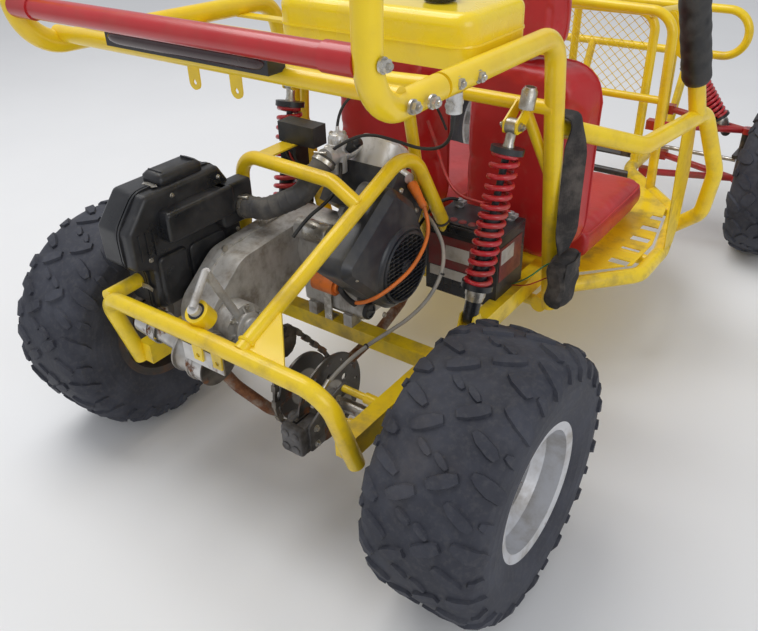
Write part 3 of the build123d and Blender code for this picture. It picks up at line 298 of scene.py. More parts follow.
def carried(path, across, outline, closed=False):
    """A profile carried along a path: each of its points is the path's point plus its two distances along
    the two directions square to the path. The first direction is square to across as well."""
    path = np.asarray(path, float)
    ahead = np.roll(path, -1, 0) - np.roll(path, 1, 0)
    if not closed:
        ahead[0], ahead[-1] = path[1] - path[0], path[-1] - path[-2]
    ahead = unit(ahead)
    side = unit(np.cross(ahead, np.broadcast_to(across, ahead.shape)))
    up = np.cross(side, ahead)
    outline = np.asarray(outline, float)
    if outline.ndim == 2:
        outline = np.broadcast_to(outline, (len(path), *outline.shape))
    points = path[:, None] + side[:, None] * outline[..., :1] + up[:, None] * outline[..., 1:]
    return grid(points[:, ::-1], close_rows=closed, close_columns=True, caps=not closed)


def strip(foot, crest, low, high):
    """The corners of a strip's section: its half width at foot and crest, and the levels of both."""
    return [(-foot, low), (foot, low), (crest, high), (-crest, high)]


def circle(radius, sides):
    """Points on a circle: radius times the cosine and the sine of equal steps of turn."""
    turn = np.arange(sides) * (2 * np.pi / sides)
    return np.stack([radius * np.cos(turn), radius * np.sin(turn)], -1)


def axes(along, hint=(0, 0, 1)):
    """Three square directions as columns: the last is along, and the first is square to the hint."""
    along = unit(np.asarray(along, float))
    hint = np.asarray(hint, float)
    hint = hint if abs(along @ unit(hint)) < 0.98 else np.array([0.0, 1.0, 0.0])
    first = unit(np.cross(hint, along))
    return np.stack([first, np.cross(along, first), along], -1)


def round_axis(turn, along):
    """Directions square to an axis: the cosine of each turn along one, plus its sine along the other."""
    first, second, _ = axes(along).T
    return np.cos(turn)[:, None] * first + np.sin(turn)[:, None] * second


def lathe(profile, place, along, steps=48, ring=False):
    """A profile of (distance along the axis, radius) turned about the axis. A ring's profile closes on
    itself."""
    profile = np.asarray(profile, float)
    turn = np.arange(steps) * (2 * np.pi / steps)
    local = np.stack(
        [
            profile[:, 1:] * np.cos(turn), profile[:, 1:] * np.sin(turn),
            np.broadcast_to(profile[:, :1], (len(profile), steps)),
        ],
        -1,
    )
    return grid(np.asarray(place) + local @ axes(along).T, close_rows=ring, close_columns=True, caps=not ring)


def counted_on(faces, copies, size):
    """The faces of a shape with that many points, numbered on for each further copy."""
    starts = np.arange(copies)[:, None, None] * size
    return [(group[None] + starts).reshape(-1, group.shape[1]) for group in faces]


def placed(shape, places, directions, hints=(0, 0, 1), sizes=1.0):
    """The shape repeated: its own third direction is turned to each direction and its origin goes to each
    place."""
    places, directions = np.atleast_2d(places), np.atleast_2d(directions)
    count = len(places)
    directions = np.broadcast_to(directions, (count, 3))
    hints = np.broadcast_to(hints, (count, 3))
    turns = np.stack([axes(d, h) for d, h in zip(directions, hints)])
    points, faces = shape
    sizes = np.broadcast_to(sizes, count)[:, None, None]
    moved = places[:, None] + np.einsum("kij,nj->kni", turns, points) * sizes
    return moved.reshape(-1, 3), counted_on(faces, count, len(points))


def prism(outline, base, top):
    """A flat outline raised from base to top along the third direction."""
    outline = np.asarray(outline, float)
    rows = [np.column_stack([outline, np.full(len(outline), height)]) for height in (base, top)]
    return grid(np.stack(rows), close_columns=True, caps=True)


def listed(faces):
    """The groups of faces as one list."""
    return [face for group in faces for face in group.tolist()]


def piece(name, shape, finish, body="chassis", stands_for=(), sharp=35.0):
    """One piece of the kart: its mesh with smooth and sharp edges, its finish, and the body that it rides
    on."""
    points, faces = shape
    mesh = bpy.data.meshes.new(name)
    mesh.from_pydata(points.tolist(), [], listed(faces))
    mesh.validate()
    mesh.shade_smooth()
    mesh.set_sharp_from_angle(angle=math.radians(sharp))
    mesh.materials.append(finish)
    made = bpy.data.objects.new(name, mesh)
    bpy.context.scene.collection.objects.link(made)
    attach(made, body)
    if stands_for:
        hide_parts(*stands_for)
    return made


# Tyres: balloon tyres of dusty black rubber, moulded with low lugs: slanted bars on the crown, and lozenges
# on the shoulders that reach over onto the sidewall. Each is pressed onto its rim.
def tyre_finish():
    """Matt grey-black rubber, paler with dust in clouds and on the crown, with fine grain."""
    tree, where, close = surface("tyre_rubber")
    dust = noise(tree, where, 9, 0.36, 0.72, 9)
    fine = noise(tree, where, 90, 0.45, 0.7, 5)
    black = mix(tree, dust, colour(0.030, 0.032, 0.044), colour(0.064, 0.068, 0.086))
    dusty = mix(tree, times(tree, fine, 0.22), black, colour(0.115, 0.112, 0.112))
    muddy = mix(
        tree, times(tree, noise(tree, where, 3.5, 0.55, 0.8, 5), 0.28), dusty, colour(0.13, 0.105, 0.08)
    )
    grain = put(tree, "TexNoise", Vector=where, Scale=260, Detail=4).outputs["Fac"]
    return close(
        Base_Color=muddy,
        Roughness=value(tree, dust, 0.62, 0.86),
        Normal=bump(tree, grain, 0.0005, 0.5),
        Specular_IOR_Level=0.35,
    )


tyre_rubber = tyre_finish()
BEAD_RADIUS = 0.1275
LUG_HEIGHT = 0.008
LUG_PITCH = 0.1257  # the distance round between two lugs for which the tables below are drawn
CROWN_INSET, CROWN_FALL = 0.046, 0.0035
SHOULDER_WIDE, SHOULDER_FALL = 0.034, 0.0185
WALL_BULGE = 0.012
RING_PITCH, RING_RELIEF = 0.021, 0.0012
CROWN_LUG = [(0.10, 0, -22, 9), (0.28, 0, -14, 13), (0.52, 0, -2, 13.5), (0.70, 0, 7, 9)]
CROWN_TOE = [(0.40, 0, 16, 5), (0.30, 0, 22, 8), (0.14, 0, 30, 8), (0.06, 0, 34, 5)]
SLANT_LUG = [(0.62, 0, 26, 7), (0.80, 0, 18, 11.5), (1.0, 8, 6, 12.5), (1.0, 18, -1, 8)]
SHOULDER_LUG = [(1.0, -4, 24, 7), (1.0, 8, 20, 13), (1.0, 28, 12, 16), (1.0, 50, 4, 14), (1.0, 66, -2, 7)]
WALL_LUG = [(1.0, 30, 4, 6), (1.0, 40, 2, 10), (1.0, 54, -1, 9), (1.0, 62, -3, 5)]
LUG_ROWS = (
    (0.00, 1, 0.92, CROWN_LUG), (0.50, -1, 0.92, CROWN_LUG),
    (0.04, 1, 0.7, CROWN_TOE), (0.54, -1, 0.7, CROWN_TOE),
    (0.52, 1, 0.92, SLANT_LUG), (0.02, -1, 0.92, SLANT_LUG),
    (0.02, 1, 0.9, SHOULDER_LUG), (0.52, -1, 0.9, SHOULDER_LUG),
    (0.46, 1, 0.7, WALL_LUG), (0.96, -1, 0.7, WALL_LUG),
)


def run_along(path):
    """How far along the path each of its points lies: the sum of the steps before it."""
    return np.concatenate([[0], np.cumsum(np.linalg.norm(np.diff(path, axis=0), axis=1))])


def lug_on(section, station_list, height, turns):
    """One moulded lug, repeated round the tyre. Its stations are (distance along the section from the
    crown's middle, distance round, half width). Each is put on the section's curve at that length of arc,
    and the lug's four corners stand out along the curve's own outward direction: wide at the foot, narrower
    at the height."""
    length = run_along(section)
    out = unit(np.gradient(section, axis=0)) @ np.array([[0, 1], [-1, 0]])
    out *= np.sign(out[:, 1:] + 1e-9) if out[0, 1] < 0 else 1
    reach, round_, half = np.array(station_list, float).T / 1000
    hand = np.sign(reach.mean())
    at = np.column_stack([np.interp(np.abs(reach), length, section[:, k]) for k in (0, 1)])
    up = unit(np.column_stack([np.interp(np.abs(reach), length, out[:, k]) for k in (0, 1)]))
    turn = round_ / at[:, 1]
    place = np.column_stack([at[:, 0] * hand, at[:, 1] * np.sin(turn), at[:, 1] * np.cos(turn)])
    rise = np.column_stack([up[:, 0] * hand, up[:, 1] * np.sin(turn), up[:, 1] * np.cos(turn)])
    aside = unit(np.cross(np.gradient(place, axis=0), rise))
    taper = np.array([0.55] + [1.0] * (len(half) - 2) + [0.55])[:, None]
    foot = [place + aside * (half[:, None] + 0.0005) * k - rise * 0.003 for k in (-1, 1)]
    crest = [
        place + aside * (half[:, None] - 0.0022) * k + rise * height * (0.6 + 0.4 * taper)
        for k in (1, -1)
    ]
    points, faces = grid(
        np.stack([foot[0], foot[1], crest[0], crest[1]], 1)[:, ::-1], close_columns=True, caps=True
    )
    cosine, sine = np.cos(turns)[:, None], np.sin(turns)[:, None]
    spun = np.stack(
        [
            np.broadcast_to(points[:, 0], (len(turns), len(points))),
            points[:, 1] * cosine - points[:, 2] * sine, points[:, 1] * sine + points[:, 2] * cosine,
        ],
        -1,
    )
    return spun.reshape(-1, 3), counted_on(faces, len(turns), len(points))


def placed_at(middle, shape):
    """The shape moved to a place."""
    return shape[0] + middle, shape[1]


def tyre(name, node, middle, radius, width, bead_half, lugs, side, body):
    """A carcass turned from its section, with rows of lugs. Its section is a level crown, a shoulder, then
    a bulging sidewall with fine rings down to the bead."""
    half = width / 2
    carcass = radius - LUG_HEIGHT
    shoulder = carcass - CROWN_FALL - SHOULDER_FALL
    crown = [
        (share * (half - CROWN_INSET), carcass - CROWN_FALL * share**2)
        for share in np.linspace(0, 1, 7)
    ]
    edge = [
        (half - CROWN_INSET + SHOULDER_WIDE * s, carcass - CROWN_FALL - SHOULDER_FALL * s**1.6)
        for s in np.linspace(0.2, 1, 6)
    ]
    down = np.linspace(0, 1, 40)[1:]
    bulge = np.sin(down * np.pi) ** 0.8
    depth = shoulder + (BEAD_RADIUS + 0.004 - shoulder) * down
    wide = (half - WALL_BULGE) * (1 - down) + (bead_half + 0.004) * down + WALL_BULGE * bulge
    rings = np.clip(np.cos((depth - BEAD_RADIUS) * 2 * np.pi / RING_PITCH), 0.55, 1)
    wide += RING_RELIEF * rings * (depth < radius - 0.05)
    wall = np.column_stack([wide, depth])
    inner = [(bead_half - 0.004, BEAD_RADIUS), (bead_half * 0.5, BEAD_RADIUS), (0, BEAD_RADIUS)]
    near = np.vstack([crown, edge, wall, inner])
    section = np.vstack([near, (near * [-1, 1])[-2:0:-1]])
    shapes = [lathe(section, middle, (side, 0, 0), 120, ring=True)]
    top = np.vstack([crown, edge, wall[:16]])
    edge_at = (half - CROWN_INSET) * 1000
    pitch = 2 * np.pi * radius / lugs / LUG_PITCH
    for share, hand, height, lug in LUG_ROWS:
        turns = (np.arange(lugs) + share) * (2 * np.pi / lugs)
        stations = [
            (hand * (level * edge_at + out), hand * along * pitch, wide * pitch)
            for level, out, along, wide in lug
        ]
        shapes.append(placed_at(middle, lug_on(top, stations, LUG_HEIGHT * height, turns)))
    piece(name, joined(*shapes), tyre_rubber, body, [node] if node else [])


SIDES = ((1, "right"), (-1, "left"))
REAR_TYRE = (0.280, 0.250, 0.099, 14)
FRONT_TYRE = (0.267, 0.178, 0.073, 10)
tyre("rear_tyre_right", "rear_tyres", spot(515, 0, 280), *REAR_TYRE, 1, "rear_axle")
tyre("rear_tyre_left", None, spot(-515, 0, 280), *REAR_TYRE, -1, "rear_axle")
tyre("front_tyre_right_lugged", "front_tyre_right", spot(615, 1800, 267), *FRONT_TYRE, 1, "front_wheel_right")
tyre("front_tyre_left_lugged", "front_tyre_left", spot(-615, 1800, 267), *FRONT_TYRE, -1, "front_wheel_left")

# Rims: pressed steel, spun to shape, painted silver and bolted to the hubs by four studs.
# Brown dirt lies on them in clouds, and their side that faces the kart is coloured near black; the nuts are
# plated steel.
def silver_paint():
    """Silver paint gone grey, with brown dirt in clouds and rust spots. The side of the rear rims that
    faces the kart is coloured near black, in dark and rust-brown clouds: a share that falls from 1 to 0
    as the distance from the kart's middle grows."""
    tree, where, close = surface("silver_rim")
    out = put(
        tree, "Math", {"operation": "ABSOLUTE"}, i0=put(tree, "SeparateXYZ", Vector=where).outputs[0]
    ).outputs[0]
    inner = put(tree, "MapRange", Value=out, i1=0.466, i2=0.446).outputs[0]
    # The colour of the side that faces the kart: near black, in dark and rust-brown clouds.
    kart_side_dark = mix(
        tree, noise(tree, where, 13, 0.42, 0.66, 7), colour(0.045, 0.040, 0.037),
        colour(0.105, 0.050, 0.026),
    )
    dirt = noise(tree, where, 11, 0.4, 0.74, 9)
    grey = mix(tree, dirt, colour(0.62, 0.63, 0.66), colour(0.36, 0.33, 0.29))
    rust = noise(tree, where, 30, 0.66, 0.72, 8)
    spotted = mix(tree, rust, grey, colour(0.19, 0.085, 0.035))
    metal = value(tree, inner, 0.4, 0.0)
    return close(
        Base_Color=mix(tree, inner, spotted, kart_side_dark),
        Metallic=metal,
        Roughness=value(tree, dirt, 0.34, 0.62),
        Normal=bump(tree, dirt, 0.0002, 0.6),
    )


silver_rim = silver_paint()
dress(silver_rim, "rear_wheels", "front_wheel_right", "front_wheel_left")


def plated():
    """Zinc-plated steel: pale, slightly yellow-grey, with a soft cloudiness."""
    tree, where, close = surface("plated_steel")
    cloud = noise(tree, where, 55, 0.35, 0.7)
    return close(
        Base_Color=mix(tree, cloud, colour(0.62, 0.60, 0.55), colour(0.36, 0.33, 0.28)),
        Metallic=0.9,
        Roughness=value(tree, cloud, 0.26, 0.5),
    )


plated_steel = plated()
NUT = joined(
    prism(circle(0.0105, 24), -0.002, 0.0015), prism(circle(0.0085, 6), 0.0015, 0.0085),
    prism(circle(0.0042, 12), 0.0085, 0.0125),
)


def ring_of(count, radius, middle, along, phase=0.0):
    """Even spots on a circle about a middle, square to a direction."""
    turn = (np.arange(count) + phase) * (2 * np.pi / count)
    return np.asarray(middle) + radius * round_axis(turn, along)


for side, hand in SIDES:
    rear_face = spot(side * (515 - 56), 0, 280)
    piece(
        f"rear_wheel_nuts_{hand}",
        placed(NUT, ring_of(4, 0.046, rear_face, (side, 0, 0), 0.5), (side, 0, 0)), plated_steel,
        "rear_axle",
    )
    axle_cap = lathe(
        [(-0.014, 0.024), (0.004, 0.024), (0.007, 0.021), (0.007, 0.013), (0.022, 0.0125), (0.024, 0.0105)],
        rear_face, (side, 0, 0), 6,
    )
    piece(f"rear_axle_nut_{hand}", axle_cap, plated_steel, "rear_axle")
    front_face = spot(side * (615 - 4), 1800, 267)
    piece(
        f"front_wheel_nuts_{hand}",
        placed(NUT, ring_of(4, 0.046, front_face, (side, 0, 0), 0.5), (side, 0, 0)), plated_steel,
        f"front_wheel_{hand}",
    )
    cap = lathe(
        [(-0.01, 0.028), (0.012, 0.0275), (0.026, 0.024), (0.031, 0.016), (0.032, 0.004)],
        spot(side * (615 + 22), 1800, 267), (side, 0, 0), 40,
    )
    piece(f"front_hub_cap_{hand}", cap, plated_steel, f"front_wheel_{hand}")

# Engine castings: crankcase, gear housing and the long belt case, die-cast aluminium left unpainted.
# Brown oily dust clings to them; the head cover and the carburettor have stayed brighter.
def casting(name, clean, oily, rough, dirt_from=0.38):
    """Sand-textured cast alloy with oily brown dust in clouds and dull streaks that run down."""
    tree, where, close = surface(name)
    dirt = noise(tree, where, 14, dirt_from, 0.72, 9)
    streaks = put(tree, "Mapping", Vector=where, Scale=(60, 60, 7)).outputs[0]
    streak = noise(tree, streaks, 1, 0.5, 0.75, 4)
    metal = mix(tree, times(tree, streak, 0.5), clean, colour(0.19, 0.175, 0.155))
    cast = put(tree, "TexNoise", Vector=where, Scale=700, Detail=3).outputs["Fac"]
    relief = bump(tree, dirt, 0.0005, 0.8, bump(tree, cast, 0.00022))
    return close(
        Base_Color=mix(tree, dirt, metal, oily),
        Metallic=0.45,
        Roughness=value(tree, dirt, rough, 0.8),
        Normal=relief,
    )


engine_alloy = casting("engine_alloy", colour(0.56, 0.55, 0.53), colour(0.24, 0.205, 0.165), 0.46, 0.42)
silver_alloy = casting("silver_alloy", colour(0.66, 0.66, 0.66), colour(0.22, 0.20, 0.17), 0.28, 0.5)
dress(engine_alloy, "engine_block", "belt_case")
dress(silver_alloy, "cylinder_head", "carburettor")

BOLT = joined(
    lathe([(-0.002, 0.0078), (0.0012, 0.0078), (0.0018, 0.0068)], (0, 0, 0), (0, 0, 1), 16),
    lathe([(0.0018, 0.0055), (0.0062, 0.0055), (0.0068, 0.0046)], (0, 0, 0), (0, 0, 1), 6),
)
case_seam = [(265, 485, 82), (152, 482, 81), (40, 474, 77), (-32, 426, 71)]
seam_turns = np.radians([[-50, 20, 70], [100, 262, 0], [105, 255, 0], [130, 185, 300]])
seam_spots = [
    spot(-163, y + (r + 2) * math.cos(t), z + (r + 2) * math.sin(t))
    for (y, z, r), ts in zip(case_seam, seam_turns)
    for t in ts if t != 0
]
piece(
    "belt_case_bolts", placed(BOLT, np.array(seam_spots), (-1, 0, 0)), plated_steel, "chassis",
)
gear_bolts = ring_of(6, 0.045, spot(-62, -42, 418), (1, 0, 0), 0.3)
piece("gear_housing_bolts", placed(BOLT, gear_bolts, (1, 0, 0)), plated_steel, "chassis")
gear_boss = lathe(
    [(-0.002, 0.036), (0.004, 0.036), (0.006, 0.033), (0.006, 0.026), (0.012, 0.025), (0.014, 0.022)],
    spot(-54, -42, 418), (1, 0, 0), 40,
)
gear_ribs = [
    carried(
        [spot(-58, -42 + 34 * c, 418 + 34 * s), spot(-68, -42 + 50 * c, 418 + 50 * s)], (1, 0, 0),
        strip(0.002, 0.002, -0.004, 0.004),
    )
    for c, s in zip(np.cos(np.arange(8) * np.pi / 4), np.sin(np.arange(8) * np.pi / 4))
]
piece("gear_housing_face", joined(gear_boss, *gear_ribs), engine_alloy, "chassis")

# Crankcase fittings: the starter motor's round case, and the slotted oil filler cap.
# The starter is spun steel; the cap is black plastic with a coin slot.
starter = lathe(
    [
        (-0.001, 0.0262), (0.004, 0.0262), (0.005, 0.0255), (0.052, 0.0255), (0.053, 0.0262),
        (0.060, 0.0262), (0.063, 0.024), (0.064, 0.016),
    ],
    spot(-76, 200, 545), (1, 0, 0), 40,
)
piece("starter_motor_case", starter, plated_steel, "chassis")


def moulded(name, dark, pale, rough, grain=0.00012):
    """Moulded plastic, black gone grey: fine leather grain, dust in clouds, and paler scuffs."""
    tree, where, close = surface(name)
    dust = noise(tree, where, 12, 0.36, 0.76, 3)
    scuff = noise(tree, where, 26, 0.55, 0.85, 3)
    black = mix(tree, dust, dark, pale)
    fine = put(tree, "TexVoronoi", Vector=where, Scale=900).outputs["Distance"]
    return close(
        Base_Color=mix(tree, times(tree, scuff, 0.3), black, colour(0.13, 0.125, 0.12)),
        Roughness=value(tree, dust, rough, 0.56),
        Normal=bump(tree, fine, grain, 0.7),
    )


black_plastic = moulded("black_plastic", colour(0.014, 0.015, 0.018), colour(0.040, 0.040, 0.043), 0.27)
shroud_plastic = moulded(
    "shroud_plastic", colour(0.022, 0.025, 0.034), colour(0.085, 0.083, 0.080), 0.3, 0.00005
)
dress(shroud_plastic, "fan_shroud")
dress(black_plastic, "air_box", "battery", "electrics", "fuel_cap", "dampers")

OIL_CAP_PLACE = spot(84, 203, 380)
filler = lathe(
    [
        (-0.004, 0.019), (0.0, 0.0205), (0.002, 0.0205), (0.006, 0.0195), (0.007, 0.0175), (0.007, 0.0145),
        (0.0045, 0.0135),
    ],
    OIL_CAP_PLACE, (1, 0, 0), 40,
)
grip = placed(
    prism(strip(0.0145, 0.0145, -0.0025, 0.0025), 0.004, 0.0095), [OIL_CAP_PLACE], (1, 0, 0), (0, 0.5, 0.8)
)
piece("oil_filler_cap", joined(filler, grip), black_plastic, "chassis")

# Fan shroud: two glossy dark plastic halves screwed together round the fan, with a louvred intake.
# The louvres are thin slats that slope, held in a raised ring.
FAN_PLACE = spot(148, 265, 485)
FAN_RADIUS = 0.076
ring = lathe(
    [
        (-0.010, FAN_RADIUS + 0.001), (0.002, FAN_RADIUS + 0.001), (0.004, FAN_RADIUS + 0.003),
        (0.002, FAN_RADIUS + 0.007), (-0.012, FAN_RADIUS + 0.010),
    ],
    FAN_PLACE,
    (1, 0, 0),
    96,
    ring=True,
)
SLAT_PITCH = 0.0098
heights = np.arange(-7, 8) * SLAT_PITCH
halves = np.sqrt(FAN_RADIUS**2 - heights**2)
slat = [(-0.0045, -0.0016), (0.0045, 0.0008), (0.0045, 0.0028), (-0.0045, 0.0004)]
slats = [
    carried([FAN_PLACE + [-0.002, -h, z], FAN_PLACE + [0, 0, z], FAN_PLACE + [-0.002, h, z]], (0, 0, 1), slat)
    for h, z in zip(halves, heights)
]
hub = lathe([(-0.012, 0.019), (0.001, 0.019), (0.003, 0.016), (0.003, 0.004)], FAN_PLACE, (1, 0, 0), 32)
blades = [
    carried(
        [
            FAN_PLACE + [-0.024, 0.022 * c, 0.022 * s],
            FAN_PLACE + [-0.026, 0.068 * math.cos(t + 0.35), 0.068 * math.sin(t + 0.35)],
        ],
        (1, 0.0, 0.3), strip(0.008, 0.008, -0.001, 0.001),
    )
    for t, c, s in ((t, math.cos(t), math.sin(t)) for t in np.arange(16) * np.pi / 8)
]
piece("fan_intake_louvres", joined(ring, hub, *slats), shroud_plastic, "chassis")
piece("fan_blades", joined(*blades), black_plastic, "chassis")
sweep = np.radians(np.linspace(28, 245, 60))
bulk = np.sin(np.linspace(0, np.pi, 60)) ** 0.7
inside, outside = 0.0865 + 0 * bulk, 0.0885 + 0.0145 * bulk
rise = 0.0005 + 0.0065 * bulk
crescent_rows = [
    np.column_stack([np.full(60, x0) + lift, radius_at * np.cos(sweep), radius_at * np.sin(sweep)])
    for x0, lift, radius_at in (
        (-0.010, 0 * rise, inside), (0.0, rise * 0.5, inside), (0.0, rise, inside + 0.002),
        (0.0, rise * 0.85, (inside + outside) / 2), (-0.004, rise * 0.5, outside - 0.001),
        (-0.016, 0 * rise, outside + 0.001),
    )
]
crescent_points, crescent_faces = grid(np.stack(crescent_rows, 1), close_columns=True, caps=True)
piece(
    "shroud_crescent",
    (crescent_points + spot(142, 265, 485), crescent_faces),
    shroud_plastic,
    "chassis",
    sharp=50,
)
SCREW = joined(
    lathe([(-0.001, 0.0062), (0.001, 0.0062), (0.0032, 0.0048), (0.0036, 0.002)], (0, 0, 0), (0, 0, 1), 20)
)
SHROUD_SCREWS = ((100, 530), (196, 610), (262, 668), (320, 600), (348, 430), (190, 396))
shroud_screws = np.array([spot(138, y, z) for y, z in SHROUD_SCREWS])
piece("fan_shroud_screws", placed(SCREW, shroud_screws, (1, 0, 0)), plated_steel, "chassis")

# Intake and carburettor: the ribbed rubber hose from the air box, held by two wire clips, and the
# carburettor with its domed slide cap, throttle cable, choke heater and thin breather hoses.
def bent(points, radii, steps=9):
    """A path of straight runs joined by arcs. Each arc touches both runs at radius times the tangent of
    half the turn from the corner, and its points are the blend of the two runs' directions by equal
    angles."""
    points = [np.asarray(p, float) for p in points]
    path = [points[0]]
    for before, corner, after, radius in zip(points, points[1:], points[2:], radii):
        back, ahead = unit(before - corner), unit(after - corner)
        half = math.acos(float(np.clip(back @ ahead, -1, 1))) / 2
        start, end = corner + back * radius / math.tan(half), corner + ahead * radius / math.tan(half)
        centre = corner + unit(back + ahead) * radius / math.sin(half)
        first, last = start - centre, end - centre
        sweep = math.acos(float(np.clip(first @ last / radius**2, -1, 1)))
        share = np.linspace(0, 1, steps)[:, None]
        path += list(
            centre + (first * np.sin((1 - share) * sweep) + last * np.sin(share * sweep)) / math.sin(sweep)
        )
    return np.array(path + [points[-1]])


def even(path, step):
    """The same path with points an equal distance apart."""
    path = np.asarray(path, float)
    length = run_along(path)
    at = np.linspace(0, length[-1], max(int(length[-1] / step), 2))
    return np.column_stack([np.interp(at, length, path[:, k]) for k in range(3)])


def smooth(path, passes=6):
    """The path with each inner point drawn to the middle of its neighbours, a few times over."""
    path = np.array(path)
    for _ in range(passes):
        path[1:-1] = 0.5 * path[1:-1] + 0.25 * (path[:-2] + path[2:])
    return path


def rubber(name, dark, dusty, rough=0.55):
    """Black rubber or vinyl gone grey: dust in clouds and a fine pebbled grain."""
    tree, where, close = surface(name)
    dust = noise(tree, where, 18, 0.38, 0.72, 8)
    grain = put(tree, "TexNoise", Vector=where, Scale=500, Detail=3).outputs["Fac"]
    return close(
        Base_Color=mix(tree, dust, dark, dusty),
        Roughness=value(tree, dust, rough, 0.85),
        Normal=bump(tree, grain, 0.0002, 0.6),
    )


hose_rubber = rubber("hose_rubber", colour(0.050, 0.049, 0.051), colour(0.150, 0.140, 0.125))
hose_path = even(
    smooth(
        bent(
            [spot(-203, 126, 602), spot(-140, 130, 606), spot(-66, 176, 640), spot(-52, 248, 705)],
            [0.055, 0.06],
        )
    ),
    0.0022,
)
along = np.arange(len(hose_path)) * 0.0022
fade = np.clip(np.minimum(along - 0.016, along[-1] - 0.020 - along) / 0.008, 0, 1)
waist = 0.0246 + 0.0012 * fade * np.clip(np.cos(along * 2 * np.pi / 0.021), 0, 1) ** 8 + 0.0006 * (1 - fade)
piece(
    "ribbed_intake_hose", carried(hose_path, (0, 0.2, 1), circle(1, 40)[None] * waist[:, None, None]),
    hose_rubber, "chassis", ["intake_hose"],
)
clips = [
    lathe(
        strip(0.005, 0.005, 0.0262, 0.0277),
        hose_path[k],
        hose_path[k + 1] - hose_path[k - 1],
        40,
        ring=True,
    )
    for k in (4, -6)
]
clip_screws = [
    lathe(
        [(-0.012, 0.003), (0.012, 0.003), (0.013, 0.0045), (0.017, 0.0045)],
        hose_path[k] + [0, -0.012, 0.0265], (1, 0.3, 0), 10,
    )
    for k in (4, -6)
]
piece("intake_hose_clips", joined(*clips, *clip_screws), plated_steel, "chassis")


def cable(name, points, radius, finish, stands_for=()):
    """A held cable: a smooth curve through its points, round, at a set radius."""
    route = bpy.data.curves.new(name, "CURVE")
    route.dimensions, route.use_fill_caps = "3D", True
    route.bevel_depth, route.bevel_resolution, route.resolution_u = radius, 3, 8
    line = route.splines.new("NURBS")
    line.points.add(len(points) - 1)
    line.points.foreach_set("co", np.column_stack([points, np.ones(len(points))]).ravel())
    line.order_u, line.use_endpoint_u = 3, True
    route.materials.append(finish)
    made = bpy.data.objects.new(name, route)
    bpy.context.scene.collection.objects.link(made)
    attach(made, "chassis")
    if stands_for:
        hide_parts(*stands_for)


dome = lathe(
    [
        (0.0, 0.0235), (0.006, 0.0235), (0.007, 0.0222), (0.020, 0.0212), (0.0265, 0.018), (0.030, 0.011),
        (0.031, 0.0045), (0.042, 0.004), (0.044, 0.003),
    ],
    spot(-52, 292, 722), (0, 0, 1), 48,
)
cap_ribs = [
    carried(
        [spot(-52 + 20 * c, 292 + 20 * s, 724), spot(-52 + 20.4 * c, 292 + 20.4 * s, 741)], (c, s, 0),
        strip(0.0012, 0.0012, -0.001, 0.0022),
    )
    for c, s in zip(np.cos(np.arange(20) * np.pi / 10), np.sin(np.arange(20) * np.pi / 10))
]
lever_drum = lathe(
    [(-0.004, 0.014), (0.004, 0.014), (0.004, 0.011), (0.008, 0.005), (0.011, 0.005)], spot(-76, 284, 706),
    (-1, 0, 0), 28,
)
choke_heater = lathe(
    [(0, 0.012), (0.022, 0.012), (0.024, 0.010), (0.036, 0.009), (0.037, 0.005)], spot(-30, 300, 716),
    (0.8, 0.2, 0.55), 24,
)
flange_bolts = placed(BOLT, np.array([spot(-40, 300, 749.5), spot(-64, 284, 749.5)]), (0, 0, 1), sizes=0.7)
piece("carburettor_cap", joined(dome, *cap_ribs), silver_alloy, "chassis")
piece("carburettor_lever", joined(lever_drum, flange_bolts), plated_steel, "chassis")
piece("choke_heater", choke_heater, black_plastic, "chassis")
cable_black = rubber("cable_black", colour(0.012, 0.012, 0.013), colour(0.05, 0.05, 0.05), 0.4)
cable(
    "throttle_cable",
    [
        spot(-52, 292, 764), spot(-52, 300, 800), spot(-30, 340, 836), spot(26, 420, 846),
        spot(60, 500, 810), spot(64, 560, 700),
    ],
    0.0032, cable_black,
)
cable(
    "breather_hose",
    [spot(-30, 270, 690), spot(-2, 236, 668), spot(0, 190, 640), spot(-40, 150, 600), spot(-52, 120, 566)],
    0.0042, cable_black,
)
cable(
    "vacuum_hose", [spot(-74, 330, 706), spot(-104, 342, 700), spot(-120, 330, 672), spot(-112, 296, 640)],
    0.0036, cable_black,
)

# Air box: a two-part black plastic case beside the engine. A lip runs round the joint; spring clips and
# screws close it. Stiffening ribs stand on its inner face.
def loop_round(low, high, corner, height, steps=9):
    """Points round an upright box at a height: quarter circles of the corner's radius about its four
    corners."""
    (x0, y0), (x1, y1) = low, high
    turn = np.linspace(0, np.pi / 2, steps)
    middles = (
        (x1 - corner, y1 - corner), (x0 + corner, y1 - corner), (x0 + corner, y0 + corner),
        (x1 - corner, y0 + corner),
    )
    return np.vstack([
        np.column_stack([
            x + corner * np.cos(turn + k * np.pi / 2), y + corner * np.sin(turn + k * np.pi / 2),
            np.full(steps, height),
        ])
        for k, (x, y) in enumerate(middles)
    ])


def slab(low, high, ease=0.0015):
    """An upright box with eased edges: three loops that step in by the ease at base and top."""
    low, high = np.array(low), np.array(high)
    (x0, y0, z0), (x1, y1, z1) = low, high
    rows = []
    for inset, z in ((ease, z0), (0, z0 + ease), (0, z1 - ease), (ease, z1)):
        rows.append(
            loop_round(
                (x0 + inset, y0 + inset), (x1 - inset, y1 - inset), max(ease * 1.4 - inset * 0.4, 0.0004),
                z, 4,
            )
        )
    return grid(np.stack(rows), close_columns=True, caps=True)


